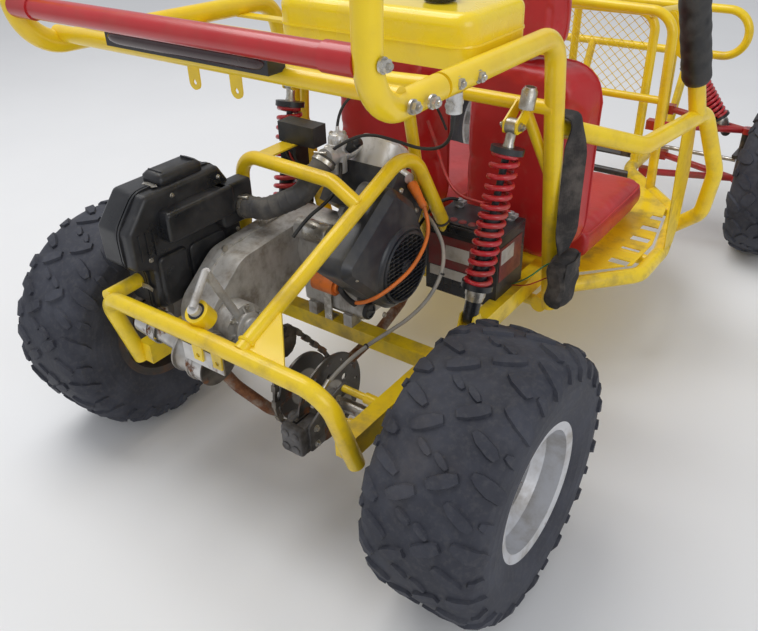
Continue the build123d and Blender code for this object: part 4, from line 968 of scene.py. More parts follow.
def moulding(outline, corner, far, near, ease):
    """A moulded box from an outline square to X, in millimetres (along Y, along Z), between two distances
    along X. Its upright corners are arcs, and its rims are quarter rounds: the loop steps in by ease times
    1 - sin as it goes out by ease times 1 - cos."""
    outline = np.array([spot(0, y, z) for y, z in outline])
    middle = (outline[:1] + outline[-1:]) / 2
    loop = bent(np.vstack([middle, outline, middle]), [corner / 1000] * len(outline), 6)
    loop = even(loop, 0.005)[:-1]
    ahead = unit(np.roll(loop, -1, 0) - np.roll(loop, 1, 0))
    outward = np.cross(ahead, (1, 0, 0))
    outward *= np.sign(np.einsum("ij,ij", outward, loop - loop.mean(0)))
    turn = np.linspace(0, np.pi / 2, 5)
    out, inset = ease * (1 - np.cos(turn)), ease * (1 - np.sin(turn))
    stations = np.concatenate([far + out, (near - out)[::-1]]) / 1000
    steps_in = np.concatenate([inset, inset[::-1]]) / 1000
    rows = loop[None] - outward[None] * steps_in[:, None, None]
    rows[..., 0] = stations[:, None]
    return grid(rows, close_columns=True, caps=True)


BOX_FORM = [
    (-120, 440), (-120, 540), (-168, 556), (-168, 640), (-112, 704), (92, 704), (132, 640), (140, 480),
    (100, 440),
]


def upright(y0, y1, z0, z1):
    """The corners of an upright rectangle."""
    return [(y0, z0), (y0, z1), (y1, z1), (y1, z0)]


air_box = joined(
    moulding(BOX_FORM, 13, -332, -228, 11),
    moulding(upright(-90, 100, 596, 664), 10, -240, -196, 8),
    moulding(upright(60, 158, 568, 664), 12, -240, -200, 7),
    moulding(upright(-112, -34, 448, 566), 12, -240, -219, 7),
    moulding(upright(-26, 78, 452, 560), 14, -240, -223, 4),
    slab(spot(-300, -60, 696), spot(-240, 60, 728), 0.008),
)
piece("moulded_air_box", air_box, black_plastic, "chassis", ["air_box"], 50)
JOINT_X, LID_X = -262, -228
box_outline = np.array([spot(JOINT_X, y, z) for y, z in BOX_FORM])
centre = box_outline.mean(0)
lip_path = smooth(even(np.vstack([box_outline, box_outline[:1]]), 0.012)[:-1], 2)
lip_path = lip_path + unit(lip_path - centre) * 0.0012
lips = [
    carried(lip_path + [x, 0, 0], (1, 0, 0), strip(0.0035, 0.0035, -0.0022, 0.0022), closed=True)
    for x in (-0.004, 0.004)
]
piece("air_box_lip", joined(*lips), black_plastic, "chassis")
ribs = [
    carried(
        [spot(LID_X, -146 + 18 * k, 574), spot(LID_X, -146 + 18 * k, 632)], (1, 0, 0),
        strip(0.0024, 0.0014, -0.002, 0.0035),
    )
    for k in range(3)
]
piece("air_box_ribs", joined(*ribs), black_plastic, "chassis")
clip_form = carried(
    [[0, 0, -0.018], [0, 0.0035, -0.012], [0, 0.0042, 0.0], [0, 0.0035, 0.012], [0, 0.0, 0.018]], (1, 0, 0),
    strip(0.006, 0.006, -0.0006, 0.0006),
)
clip_spots = np.array([spot(JOINT_X, y, z) for y, z in ((20, 709), (-72, 709), (146, 560), (-126, 490))])
clip_hints = np.array([[0, 1, 0.0], [0, 1, 0], [0, 0, 1], [0, 0, 1]])
piece(
    "air_box_clips", placed(clip_form, clip_spots, (1, 0, 0), clip_hints), plated_steel, "chassis",
)
lid_screws = np.array([
    spot(-228.5, y, z)
    for y, z in ((-126, 568), (122, 540), (104, 466), (-44, 684), (86, 680))
])
piece(
    "air_box_screws", placed(BOLT, lid_screws, (1, 0, 0), sizes=0.7), plated_steel, "chassis",
)
snorkel_lines = [
    carried([spot(-290, y, 728.5), spot(-250, y, 728.5)], (0, 0, 1), strip(0.0016, 0.0012, -0.001, 0.0022))
    for y in (-44, 44)
]
piece("air_box_grille", joined(*snorkel_lines), black_plastic, "chassis")

# Fuel tank and lights: blow-moulded yellow plastic with a moulding seam round its waist and a ribbed black
# cap. The tap below is zinc alloy, and the light bar has a dark red lens in a black case.
def tank_finish():
    """Glossy yellow plastic: colour even, dust and fine wipe marks on top."""
    tree, where, close = surface("tank_plastic")
    dust = noise(tree, where, 10, 0.45, 0.8, 8)
    wipe = noise(tree, put(tree, "Mapping", Vector=where, Scale=(8, 60, 60)).outputs[0], 1, 0.55, 0.75, 5)
    tint = mix(tree, times(tree, dust, 0.35), colour(0.94, 0.70, 0.018), colour(0.62, 0.44, 0.10))
    return close(
        Base_Color=mix(tree, times(tree, wipe, 0.18), tint, colour(0.97, 0.80, 0.20)),
        Roughness=value(tree, dust, 0.20, 0.5),
        Coat_Weight=0.3,
        Coat_Roughness=0.08,
    )


tank_plastic = tank_finish()
dress(tank_plastic, "fuel_tank")
tank_loop = np.array([spot(*p) for p in loop_round((-98, 172), (344, 398), 42, 1000)])
piece(
    "tank_seam", carried(tank_loop, (0, 0, 1), strip(0.0022, 0.0016, -0.001, 0.0026), closed=True),
    tank_plastic, "chassis",
)
turn = np.arange(48) * (2 * np.pi / 48)
wave = 0.0295 + 0.0012 * (np.arange(48) % 2)
ribbed = np.stack([wave * np.cos(turn), wave * np.sin(turn)], -1)
cap_rows = [
    np.column_stack([ribbed * s, np.full(48, z)])
    for s, z in ((0.96, 0.003), (1.0, 0.005), (1.0, 0.022), (0.93, 0.0275), (0.6, 0.029), (0.56, 0.0265))
]
cap_points, cap_faces = grid(np.stack(cap_rows), close_columns=True, caps=True)
piece(
    "ribbed_fuel_cap", (cap_points + spot(232, 256, 1054), cap_faces), black_plastic, "chassis",
    ["fuel_cap"],
)
dress(silver_alloy, "fuel_tap")


def lens_finish():
    """Dark red moulded lens, almost black, glossy under a little dust."""
    tree, where, close = surface("lens_red")
    dust = noise(tree, where, 22, 0.4, 0.75, 7)
    return close(
        Base_Color=mix(tree, dust, colour(0.030, 0.003, 0.005), colour(0.055, 0.026, 0.024)),
        Roughness=value(tree, dust, 0.10, 0.32),
        Coat_Weight=0.4,
        Coat_Roughness=0.05,
    )


lens_red = lens_finish()
dress(black_plastic, "tail_light")
across = np.linspace(-1, 1, 41)
lens_arc = np.radians(np.linspace(-90, 90, 13))
taper = (1 - across**16) ** 0.5 * 0.85 + 0.15
lens_outline = np.stack(
    [0.0128 * np.sin(lens_arc), 0.0085 * np.cos(lens_arc) - 0.002], -1
)[None] * taper[:, None, None]
lens_path = spot(0, -150, 1029) + np.column_stack([0.183 * across, 0 * across, 0 * across])
piece("tail_light_lens", carried(lens_path, (0, -1, 0), lens_outline), lens_red, "chassis")

# Red cross bar and front arms: steel tube, painted glossy red and dusty.
# The bar is bolted across the cage behind the seats, and the arms carry the front wheels.
red_paint = paint(
    "red_paint", colour(0.52, 0.018, 0.022), colour(0.42, 0.012, 0.016), colour(0.20, 0.15, 0.12), 0.28
)
dress(red_paint, "rear_cross_bar", "front_arms")

# Seats: red vinyl over foam. Each back is a padded shell with rolled edges, each cushion a thick pad, and
# each headrest a small block. Covers are sewn from panels; piping follows the seams.
def vinyl_finish():
    """Red vinyl: leather grain, faint fading, dust in creases and soft gloss."""
    tree, where, close = surface("red_vinyl")
    fade = noise(tree, where, 5, 0.38, 0.7)
    dust = noise(tree, where, 26, 0.5, 0.78, 8)
    grain = put(tree, "TexVoronoi", Vector=where, Scale=520).outputs["Distance"]
    folds = put(tree, "TexNoise", Vector=where, Scale=11, Detail=3, Distortion=0.6).outputs["Fac"]
    red = mix(tree, fade, colour(0.50, 0.016, 0.018), colour(0.40, 0.012, 0.014))
    return close(
        Base_Color=mix(tree, times(tree, dust, 0.22), red, colour(0.35, 0.16, 0.11)),
        Roughness=value(tree, dust, 0.34, 0.6),
        Normal=bump(tree, folds, 0.003, 0.35, bump(tree, grain, 0.00025, 0.6)),
        Sheen_Weight=0.05,
    )


red_vinyl = vinyl_finish()


def pad_shape(rows, columns=64):
    """A closed form through rounded rectangles: (distance along, width, height, corner radius, middle
    height). Each row goes round at equal shares of its length, so that rows match."""
    made = []
    for along, width, height, corner, middle in rows:
        loop = loop_round((-width / 2, -height / 2), (width / 2, height / 2), corner, 0, 13)[:, :2]
        closed = np.vstack([loop, loop[:1]])
        length = run_along(closed)
        at = np.arange(columns) / columns * length[-1]
        across, up = (np.interp(at, length, closed[:, k]) for k in (0, 1))
        made.append(np.column_stack([across, np.full(columns, along), up + middle]))
    return grid(np.stack(made), close_columns=True, caps=True)


SWELL_FRAMES = 20


def stuffed(name, shape, voxel, pressure, cap):
    """Swells a closed form as a cover over foam does: a pressed cloth, whose points move no further than
    the cap."""
    points, faces = shape
    mesh = bpy.data.meshes.new(name + "_start")
    mesh.from_pydata(points.tolist(), [], listed(faces))
    made = bpy.data.objects.new(name + "_start", mesh)
    bpy.context.scene.collection.objects.link(made)
    even_out = made.modifiers.new("even", "REMESH")
    even_out.mode, even_out.voxel_size = "VOXEL", voxel
    even_mesh = bpy.data.meshes.new_from_object(made.evaluated_get(bpy.context.evaluated_depsgraph_get()))
    made.modifiers.clear()
    made.data = even_mesh
    start = np.empty(len(even_mesh.vertices) * 3)
    even_mesh.vertices.foreach_get("co", start)
    cloth = made.modifiers.new("cloth", "CLOTH")
    cloth.settings.effector_weights.gravity = 0
    cloth.settings.use_pressure, cloth.settings.uniform_pressure_force = True, pressure
    cloth.settings.quality = 4
    cloth.settings.tension_stiffness = cloth.settings.compression_stiffness = 25
    cloth.point_cache.frame_start, cloth.point_cache.frame_end = 1, SWELL_FRAMES
    for frame_number in range(1, SWELL_FRAMES + 1):
        bpy.context.scene.frame_set(frame_number)
    swollen = made.evaluated_get(bpy.context.evaluated_depsgraph_get()).data
    end = np.empty(len(swollen.vertices) * 3)
    swollen.vertices.foreach_get("co", end)
    moved = (end - start).reshape(-1, 3)
    reach = np.linalg.norm(moved, axis=1, keepdims=True)
    start = (start.reshape(-1, 3) + moved * np.minimum(1, cap / np.maximum(reach, 1e-9))).ravel()
    made.modifiers.clear()
    bpy.context.scene.frame_set(1)
    corners = np.empty(len(even_mesh.loops), int)
    even_mesh.loops.foreach_get("vertex_index", corners)
    sizes = np.empty(len(even_mesh.polygons), int)
    even_mesh.polygons.foreach_get("loop_total", sizes)
    bpy.data.objects.remove(made)
    starts = np.concatenate([[0], np.cumsum(sizes)[:-1]])
    groups = [corners[starts[sizes == n][:, None] + np.arange(n)] for n in np.unique(sizes)]
    return start.reshape(-1, 3), groups


def mirrored(shape):
    """The same form on the other side of the kart, with its faces turned back outwards."""
    points, faces = shape
    return points * [-1, 1, 1], [group[:, ::-1] for group in faces]


def on_pad(shape, path):
    """The path's points, each moved to the nearest place on a pad."""
    points, faces = shape
    tree = BVHTree.FromPolygons([Vector(p) for p in points], listed(faces))
    return np.array([tree.find_nearest(Vector(p))[0] for p in path])


PIPING = 0.0032
back_rows = [
    (-0.056, 0.235, 0.440, 0.055, 0), (-0.058, 0.262, 0.468, 0.058, 0), (-0.044, 0.280, 0.486, 0.062, 0),
    (0.020, 0.322, 0.490, 0.078, 0), (0.048, 0.340, 0.490, 0.090, 0), (0.056, 0.322, 0.470, 0.085, 0),
    (0.050, 0.250, 0.400, 0.075, 0),
]
cushion_rows = [
    (-0.212, 0.300, 0.070, 0.030, 0), (-0.206, 0.328, 0.084, 0.034, 0), (-0.12, 0.334, 0.086, 0.034, 0.0),
    (0.12, 0.334, 0.086, 0.034, 0.0), (0.196, 0.324, 0.084, 0.036, 0.0),
    (0.212, 0.290, 0.066, 0.032, -0.004),
]
rest_rows = [
    (-0.043, 0.108, 0.118, 0.024, 0), (-0.040, 0.138, 0.150, 0.030, 0), (0.0, 0.146, 0.158, 0.032, 0),
    (0.040, 0.138, 0.150, 0.030, 0), (0.043, 0.108, 0.118, 0.024, 0),
]
pads = (
    ("seat_back", "seat_backs", back_rows, spot(205, 706, 612), 0.0065, 5.0, 0.008),
    ("seat_cushion", "seat_cushions", cushion_rows, spot(205, 991, 371), 0.0065, 4.0, 0.006),
    ("headrest", "headrests", rest_rows, spot(205, 706, 956), 0.005, 4.0, 0.006),
)
for name, node, rows, middle, voxel, pressure, cap in pads:
    points, faces = stuffed(name, pad_shape(rows), voxel, pressure, cap)
    shape = (points + middle, faces)
    for hand, form, stands_for in (("right", shape, [node]), ("left", mirrored(shape), [])):
        made = piece(f"{name}_{hand}", form, red_vinyl, "chassis", stands_for, 180)
    along, width, height, corner, _ = rows[-3] if name != "seat_cushion" else (0, 0.334, 0, 0, 0)
    if name == "seat_cushion":
        seam = loop_round(
            (middle[0] - 0.168, middle[1] - 0.214), (middle[0] + 0.168, middle[1] + 0.214), 0.045,
            middle[2] + 0.036, 12,
        )
    else:
        flat = loop_round((-width / 2, -height / 2), (width / 2, height / 2), corner, 0, 12)
        seam = middle + np.column_stack([flat[:, 0], np.full(len(flat), along * 0.9), flat[:, 1]])
    seam = np.vstack([seam, seam[:1]])
    seam = on_pad(shape, even(seam, 0.011)[:-1])
    piping = carried(
        smooth(seam, 1),
        (0, 1, 0.01) if name != "seat_cushion" else (0, 0, 1),
        circle(PIPING, 8),
        closed=True,
    )
    piece(f"{name}_piping_right", piping, red_vinyl, "chassis")
    piece(f"{name}_piping_left", mirrored(piping), red_vinyl, "chassis")


# Belts: black polyester webbing, woven in ribs, folded over the side bars and sewn.
# Cloth pouches hang on them over the reels.
def webbing_finish():
    """Black woven webbing: fine twill ribs along and across, faded grey on the folds."""
    tree, where, close = surface("black_webbing")
    dust = noise(tree, where, 20, 0.4, 0.75, 7)
    ribs = put(
        tree,
        "TexWave",
        {"wave_type": "BANDS", "bands_direction": "Z"},
        Vector=where,
        Scale=240,
        Distortion=0.6,
    ).outputs["Fac"]
    weft = put(
        tree, "TexWave", {"wave_type": "BANDS", "bands_direction": "Y"}, Vector=where, Scale=110
    ).outputs["Fac"]
    return close(
        Base_Color=mix(tree, dust, colour(0.024, 0.022, 0.022), colour(0.120, 0.104, 0.092)),
        Roughness=0.85,
        Normal=bump(tree, times(tree, ribs, weft), 0.0005, 0.9),
    )


black_webbing = webbing_finish()
belt_face = strip(0.0016, 0.0016, -0.025, 0.025)
pouch_rows = [
    (-0.048, 0.026, 0.100, 0.012, -0.012), (-0.042, 0.042, 0.124, 0.018, -0.014),
    (-0.015, 0.050, 0.134, 0.022, -0.016), (0.015, 0.048, 0.138, 0.020, -0.018),
    (0.042, 0.040, 0.122, 0.017, -0.014), (0.048, 0.026, 0.096, 0.012, -0.010),
]
for side, hand in SIDES:
    strap = [
        spot(side * x, 528, z)
        for x, z in (
            (342, 800.4), (392, 800.2), (399.6, 796), (402.5, 786), (402.8, 700), (402.2, 600), (403, 520),
            (404, 482),
        )
    ]
    strap_path = even(smooth(even(strap, 0.004), 3), 0.008)
    hanging = np.clip(np.minimum(0.790 - strap_path[:, 2], strap_path[:, 2] - 0.470) / 0.08, 0, 1)
    twist = -side * math.radians(48) * hanging**2 * (3 - 2 * hanging)
    strap_path[:, 0] += side * 0.004 * hanging
    turned_face = np.stack([
        np.stack(
            [x * np.cos(twist) - y * np.sin(twist), x * np.sin(twist) + y * np.cos(twist)], -1
        ) for x, y in belt_face
    ], 1)
    piece(
        f"lap_belt_{hand}", carried(strap_path, (0, 1, 0), turned_face), black_webbing, "chassis",
        ["seat_belts"] if side > 0 else [],
    )
    pouch_points, pouch_faces = pad_shape(pouch_rows, 40)
    swing = 0.004 * np.sin(pouch_points[:, 2] * 90) * np.cos(pouch_points[:, 1] * 60)
    pouch = (
        pouch_points + np.column_stack([swing, 0 * swing, 0 * swing]) + spot(side * 410, 528, 428),
        pouch_faces,
    )
    made = piece(
        f"belt_pouch_{hand}", pouch, black_webbing, "chassis",
        ["belt_pouches"] if side > 0 else [],
    )
    flap = carried(
        [spot(side * 431, 488, 452), spot(side * 436.5, 528, 448), spot(side * 431, 568, 452)], (0, 0, 1),
        [(-0.0012, -0.016), (0.0012, -0.018), (0.0012, 0.020), (-0.0012, 0.020)],
    )
    piece(f"pouch_flap_{hand}", flap, black_webbing, "chassis")

# Springs and dampers: red powder-coated coil springs between two cups, over black damper bodies and bright
# rods. The upper eye is plated steel with a rubber bush.
spring_red = paint(
    "spring_red", colour(0.55, 0.022, 0.035), colour(0.44, 0.015, 0.022), colour(0.22, 0.17, 0.13), 0.26,
    0.8,
)
STRUTS = [
    (s, t, l)
    for s in (1, -1)
    for t, l in (((305, 428, 790), (285, 318, 372)), ((262, 1760, 640), (432, 1800, 398)))
]
TURNS = 13.5
turn = np.linspace(0, TURNS * 2 * np.pi, int(TURNS * 22) + 1)
for number, (side, top, low) in enumerate(STRUTS):
    upper, lower = spot(side * top[0], *top[1:]), spot(side * low[0], *low[1:])
    down = unit(lower - upper)
    reach = np.linalg.norm(lower - upper)
    share = (turn / turn[-1] - 0.5) * 1.06
    eased = np.clip(0.5 + share + 0.02 * np.sin(turn / turn[-1] * 2 * np.pi), 0, 1)
    at = upper + down * (reach * (0.137 + (0.795 - 0.137) * eased))[:, None]
    coil_path = at + 0.0265 * round_axis(turn, down)
    piece(
        f"coil_spring_{number}",
        carried(coil_path, down, circle(0.0062, 10)),
        spring_red,
        "chassis",
        ["coil_springs"] if number == 0 else [],
        180,
    )
    top_cup = lathe(
        [(0, 0.020), (0.003, 0.031), (0.0065, 0.0332), (0.0080, 0.0325), (0.0045, 0.028), (0.003, 0.012)],
        upper + down * reach * 0.108, down, 40,
    )
    low_cup = lathe(
        [(0, 0.012), (0.002, 0.0335), (0.0055, 0.0345), (0.0085, 0.032), (0.011, 0.022)],
        upper + down * reach * 0.802, down, 40,
    )
    piece(f"spring_top_cup_{number}", top_cup, spring_red, "chassis")
    adjuster = lathe(
        [(0, 0.0225), (0.004, 0.0235), (0.018, 0.0235), (0.022, 0.0215), (0.030, 0.0205)],
        upper + down * reach * 0.83, down, 12,
    )
    piece(f"spring_adjuster_{number}", joined(low_cup, adjuster), plated_steel, "chassis")
    pin = (0, 1, 0) if top[1] > 1000 else (1, 0, 0)
    eye = lathe(
        [(-0.0115, 0.0075), (-0.0115, 0.0165), (0.0115, 0.0165), (0.0115, 0.0075)],
        upper,
        pin,
        28,
        ring=True,
    )
    neck = lathe(
        [(0.008, 0.0105), (0.034, 0.0105), (0.042, 0.0125), (reach * 0.105, 0.0125)], upper, down, 20
    )
    piece(f"damper_eye_{number}", joined(eye, neck), plated_steel, "chassis")
    bolt = placed(
        NUT,
        [upper + np.array(pin) * 0.0175, upper - np.array(pin) * 0.0175],
        [pin, tuple(-k for k in pin)],
        sizes=0.9,
    )
    piece(f"damper_bolts_{number}", bolt, plated_steel, "chassis")

# Battery: black polypropylene case with a stepped lid, six vent caps, and lead posts with clamps and
# cables. The loose wires beside it are copper in thin red, green and black sleeves. Its stickers are left
# as plain bare panels in two colours.
def plain_colour(name, base, dusty, rough, metal=0.0):
    """One even colour under a cloud of dust, slightly uneven."""
    tree, where, close = surface(name)
    dust = noise(tree, where, 24, 0.4, 0.76, 8)
    fine = put(tree, "TexNoise", Vector=where, Scale=340, Detail=3).outputs["Fac"]
    return close(
        Base_Color=mix(tree, dust, base, dusty),
        Roughness=value(tree, dust, rough, 0.8),
        Metallic=metal,
        Normal=bump(tree, fine, 0.00012, 0.6),
    )


sticker_dark = plain_colour("sticker_dark", colour(0.20, 0.018, 0.020), colour(0.16, 0.07, 0.06), 0.3)
sticker_pale = plain_colour("sticker_pale", colour(0.58, 0.56, 0.53), colour(0.36, 0.32, 0.27), 0.35)
orange_rubber = plain_colour("orange_rubber", colour(0.80, 0.19, 0.022), colour(0.42, 0.13, 0.045), 0.38)
lead_grey = plain_colour("lead_grey", colour(0.34, 0.34, 0.35), colour(0.22, 0.20, 0.18), 0.55, 0.5)
wire_red = plain_colour("wire_red", colour(0.50, 0.020, 0.018), colour(0.24, 0.06, 0.05), 0.35)
wire_green = plain_colour("wire_green", colour(0.020, 0.24, 0.085), colour(0.09, 0.16, 0.08), 0.35)
lid = slab(spot(83, 444.4, 494), spot(283, 576.6, 515.6), 0.003)
vents = placed(
    lathe([(0, 0.0105), (0.004, 0.0105), (0.006, 0.009)], (0, 0, 0), (0, 0, 1), 20),
    np.array([spot(118 + 26 * k, 470, 515) for k in range(6)]), (0, 0, 1),
)
lid_rail = slab(spot(104, 452, 515), spot(262, 488, 519), 0.001)
piece("battery_lid", joined(lid, lid_rail), black_plastic, "chassis")
piece("battery_vent_caps", vents, sticker_dark, "chassis")
piece(
    "battery_panel_rear",
    joined(
        slab(spot(92, 443.6, 400), spot(262, 445.2, 484), 0.0004),
        slab(spot(282.2, 452, 396), spot(283.6, 560, 486), 0.0004),
    ),
    sticker_dark, "chassis",
)
piece(
    "battery_panel_pale",
    joined(
        slab(spot(96, 443.0, 372), spot(258, 444.8, 398), 0.0004),
        slab(spot(282.6, 458, 440), spot(284.2, 520, 478), 0.0004),
        slab(spot(140, 443.0, 424), spot(206, 444.2, 462), 0.0004),
    ),
    sticker_pale, "chassis",
)
posts = [
    lathe(
        [(0, 0.011), (0.004, 0.011), (0.006, 0.0085), (0.020, 0.0078), (0.021, 0.006)], spot(x, 552, 515),
        (0, 0, 1), 24,
    )
    for x in (112, 254)
]
lugs = [slab(spot(x - 14, 544, 522), spot(x + 16, 562, 531), 0.001) for x in (112, 254)]
piece("battery_posts", joined(*posts, *lugs), lead_grey, "chassis")
cable(
    "battery_lead_red",
    [
        spot(254, 552, 531), spot(236, 540, 548), spot(180, 516, 556), spot(120, 520, 560),
        spot(60, 560, 590), spot(20, 590, 640), spot(-10, 592, 700),
    ],
    0.0038, wire_red,
)
cable(
    "battery_lead_black",
    [
        spot(112, 552, 531), spot(96, 530, 546), spot(64, 500, 520), spot(40, 470, 470), spot(26, 450, 420),
        spot(14, 430, 396),
    ],
    0.0042, cable_black,
)
cable(
    "sensor_wire_green",
    [
        spot(286, 520, 362), spot(320, 496, 392), spot(352, 484, 424), spot(376, 500, 452),
        spot(384, 540, 446), spot(362, 588, 400),
    ],
    0.0018, wire_green,
)
cable(
    "sensor_wire_red",
    [
        spot(282, 526, 356), spot(322, 512, 372), spot(350, 506, 392), spot(372, 528, 404),
        spot(366, 584, 380),
    ],
    0.0016, wire_red,
)
box_wires = [
    [
        spot(x, 310, 694), spot(x + 6, 290, 670 - 4 * k), spot(x + 40, 300, 640), spot(x + 90, 340, 628),
        spot(-40 + 6 * k, 400, 620), spot(-20 + 5 * k, 520, 600),
    ]
    for k, x in enumerate((-226, -214, -200))
]
for k, points in enumerate(box_wires):
    cable(f"box_wire_{k}", points, 0.0024, (cable_black, wire_red, cable_black)[k])

# Ignition: an orange moulded coil in a strap, and its lead, which leaves in a black boot, runs round the
# fan and ends in a thick orange cap on the spark plug.
dress(orange_rubber, "ignition_coil")
dress(plated_steel, "coil_strap")
lead_points = [
    (38, 161, 448), (72, 136, 444), (118, 120, 452), (156, 138, 470), (176, 186, 490), (184, 240, 508),
    (182, 296, 544), (170, 322, 582), (150, 328, 617),
]
cable("ignition_lead_orange", spots(lead_points), 0.0045, orange_rubber, ["ignition_lead"])
cable(
    "ignition_lead_sleeve", spots(((36, 161, 448), (72, 136, 444), (112, 121, 450))), 0.0064, cable_black,
)
boot = lathe(
    [
        (-0.004, 0.006), (0.0, 0.0085), (0.006, 0.0092), (0.010, 0.0086), (0.014, 0.0095), (0.018, 0.0088),
        (0.024, 0.010), (0.040, 0.0115), (0.056, 0.0125), (0.060, 0.0115),
    ],
    spot(152, 327, 612), np.array([-52.0, 24, 40]), 32,
)
piece("spark_plug_cap", boot, orange_rubber, "chassis")

# Brake cable and fuel hose: the cable runs in a grey sheath from the pedal to the caliper's lever, ends in
# a plated ferrule and is tied to the frame; the hose is thin black rubber from the tap to the carburettor.
sheath_grey = rubber("sheath_grey", colour(0.30, 0.29, 0.27), colour(0.46, 0.42, 0.36), 0.45)
brake_points = [
    (-92, 1502, 352), (-70, 1448, 336), (-30, 1380, 314), (-4, 1280, 309), (3, 1160, 309), (-3, 1040, 309),
    (2, 920, 309), (-2, 800, 309), (10, 690, 316), (30, 620, 352), (46, 560, 408), (54, 504, 474),
    (74, 446, 528), (114, 402, 550), (164, 364, 544), (202, 338, 516), (213, 312, 466), (203, 276, 418),
    (182, 230, 382), (162, 168, 368), (154, 100, 368), (150, 34, 362), (146, -30, 344), (143, -76, 310),
]
cable("brake_cable_sheath", spots(brake_points), 0.0045, sheath_grey, ["brake_cable"])
ferrule = lathe(
    [(-0.010, 0.006), (0.014, 0.006), (0.016, 0.0045), (0.030, 0.0045)], spot(146, -30, 344),
    np.array([-3.0, -46, -34]), 20,
)
piece("cable_ferrule", ferrule, plated_steel, "chassis")
cable(
    "fuel_line",
    spots((
        (300, 200, 880), (298, 202, 838), (262, 222, 798), (196, 246, 776), (118, 266, 774), (44, 284, 768),
        (-6, 276, 750), (-44, 262, 722),
    )),
    0.0035, cable_black, ["fuel_hose"],
)
ties = [
    lathe(strip(0.002, 0.002, 0.0047, 0.0058), spot(*at), np.array(way, float), 16, ring=True)
    for at, way in (
        ((154, 100, 368), (-4, -66, -4)), ((2, 920, 309), (0, 1, 0)), ((213, 312, 466), (-4, -26, -50))
    )
]
piece("cable_ties", joined(*ties), cable_black, "chassis")

# Exhaust, axle and chain: a mild-steel header pipe gone rusty, a silver muffler of rolled sheet with a dark
# end disc, a clamp band and a tip, and the bare steel of the rear axle and the drive chain.
def rusted(name, clean, rust_share, rough=0.4, shade_radius=None):
    """Bare steel with rust in flakes: brown scale over dark orange, raised at its edges. Where a radius is
    given, steel further from the rear axle's line than that distance is painted near black: painted shade
    on the discs and sprockets under the kart."""
    tree, where, close = surface(name)
    scale_at = noise(tree, where, 22, 0.62 - rust_share * 0.4, 0.70 - rust_share * 0.25, 10)
    shade = noise(tree, where, 70, 0.35, 0.7, 6)
    rust = mix(tree, shade, colour(0.115, 0.040, 0.016), colour(0.235, 0.095, 0.035))
    steel = mix(tree, noise(tree, where, 9, 0.4, 0.7), clean, colour(0.30, 0.27, 0.23))
    if shade_radius:
        across = put(
            tree, "Mapping", Vector=where, Location=(0, -REAR_AXLE_Y, -0.28), Scale=(0, 1, 1)
        ).outputs[0]
        apart = put(tree, "VectorMath", {"operation": "LENGTH"}, i0=across).outputs["Value"]
        # This share is painted shade: 0 near the axle's line, 0.85 beyond the radius, where the discs and
        # sprockets are painted near black.
        oily = put(tree, "MapRange", Value=apart, i1=shade_radius, i2=shade_radius + 0.004, i3=0.0, i4=0.85).outputs[0]
        steel = mix(tree, oily, steel, colour(0.045, 0.040, 0.036))
    metal = put(tree, "Math", {"operation": "SUBTRACT"}, i0=1.0, i1=scale_at).outputs[0]
    return close(
        Base_Color=mix(tree, scale_at, steel, rust),
        Metallic=times(tree, metal, 0.85),
        Roughness=value(tree, scale_at, rough, 0.88),
        Normal=bump(tree, scale_at, 0.0006, 0.8, bump(tree, shade, 0.0003, 0.5)),
    )


rusty_pipe = rusted("rusty_pipe", colour(0.30, 0.24, 0.19), 0.72, 0.6)
muffler_steel = rusted("muffler_steel", colour(0.60, 0.59, 0.57), 0.10, 0.34)
# The axle's discs, beyond 40 mm from its line, carry painted shade.
axle_steel = rusted("axle_steel", colour(0.55, 0.54, 0.52), 0.16, 0.32, 0.040)
chain_steel = rusted("chain_steel", colour(0.075, 0.066, 0.058), 0.22, 0.5)
dress(rusty_pipe, "header_pipe")
dress(muffler_steel, "muffler")
dress(axle_steel, "rear_axle")
dress(chain_steel, "drive_chain")

# Brake caliper: two cast halves bolted round the disc on a steel plate, with the pistons' caps on one side.
# The pads show as a thin edge of steel in the slot between them.
caliper_alloy = casting("caliper_alloy", colour(0.15, 0.145, 0.145), colour(0.050, 0.044, 0.040), 0.42)
CALIPER_PLATE = [
    (14, 313), (14, 334), (-62, 318), (-112, 290), (-112, 226), (-66, 226), (-66, 282), (-48, 303)
]
caliper = joined(
    moulding(CALIPER_PLATE, 5, 160, 166, 1),
    moulding(upright(-128, -62, 222, 292), 14, 105, 123, 5),
    moulding(upright(-128, -62, 222, 292), 14, 133, 160.2, 5),
    moulding(upright(-136, -112, 222, 292), 9, 105, 160, 6),
    *(
        lathe(
            [(-0.001, 0.014), (0.009, 0.014), (0.012, 0.012), (0.012, 0.006)], spot(105, -86, z),
            (-1, 0, 0), 32,
        )
        for z in (240, 274)
    ),
    *(
        lathe(
            [(-0.004, 0.010), (0.002, 0.010), (0.0035, 0.008), (0.0035, 0.004)], spot(x, -136, z),
            (0, -1, 0), 24,
        )
        for x in (119, 146)
        for z in (240, 274)
    ),
)
piece("cast_brake_caliper", caliper, caliper_alloy, "chassis", ["brake_caliper"], 50)
piece(
    "brake_pads", slab(spot(124, -112, 286), spot(132, -70, 294), 0.001), chain_steel, "chassis",
)
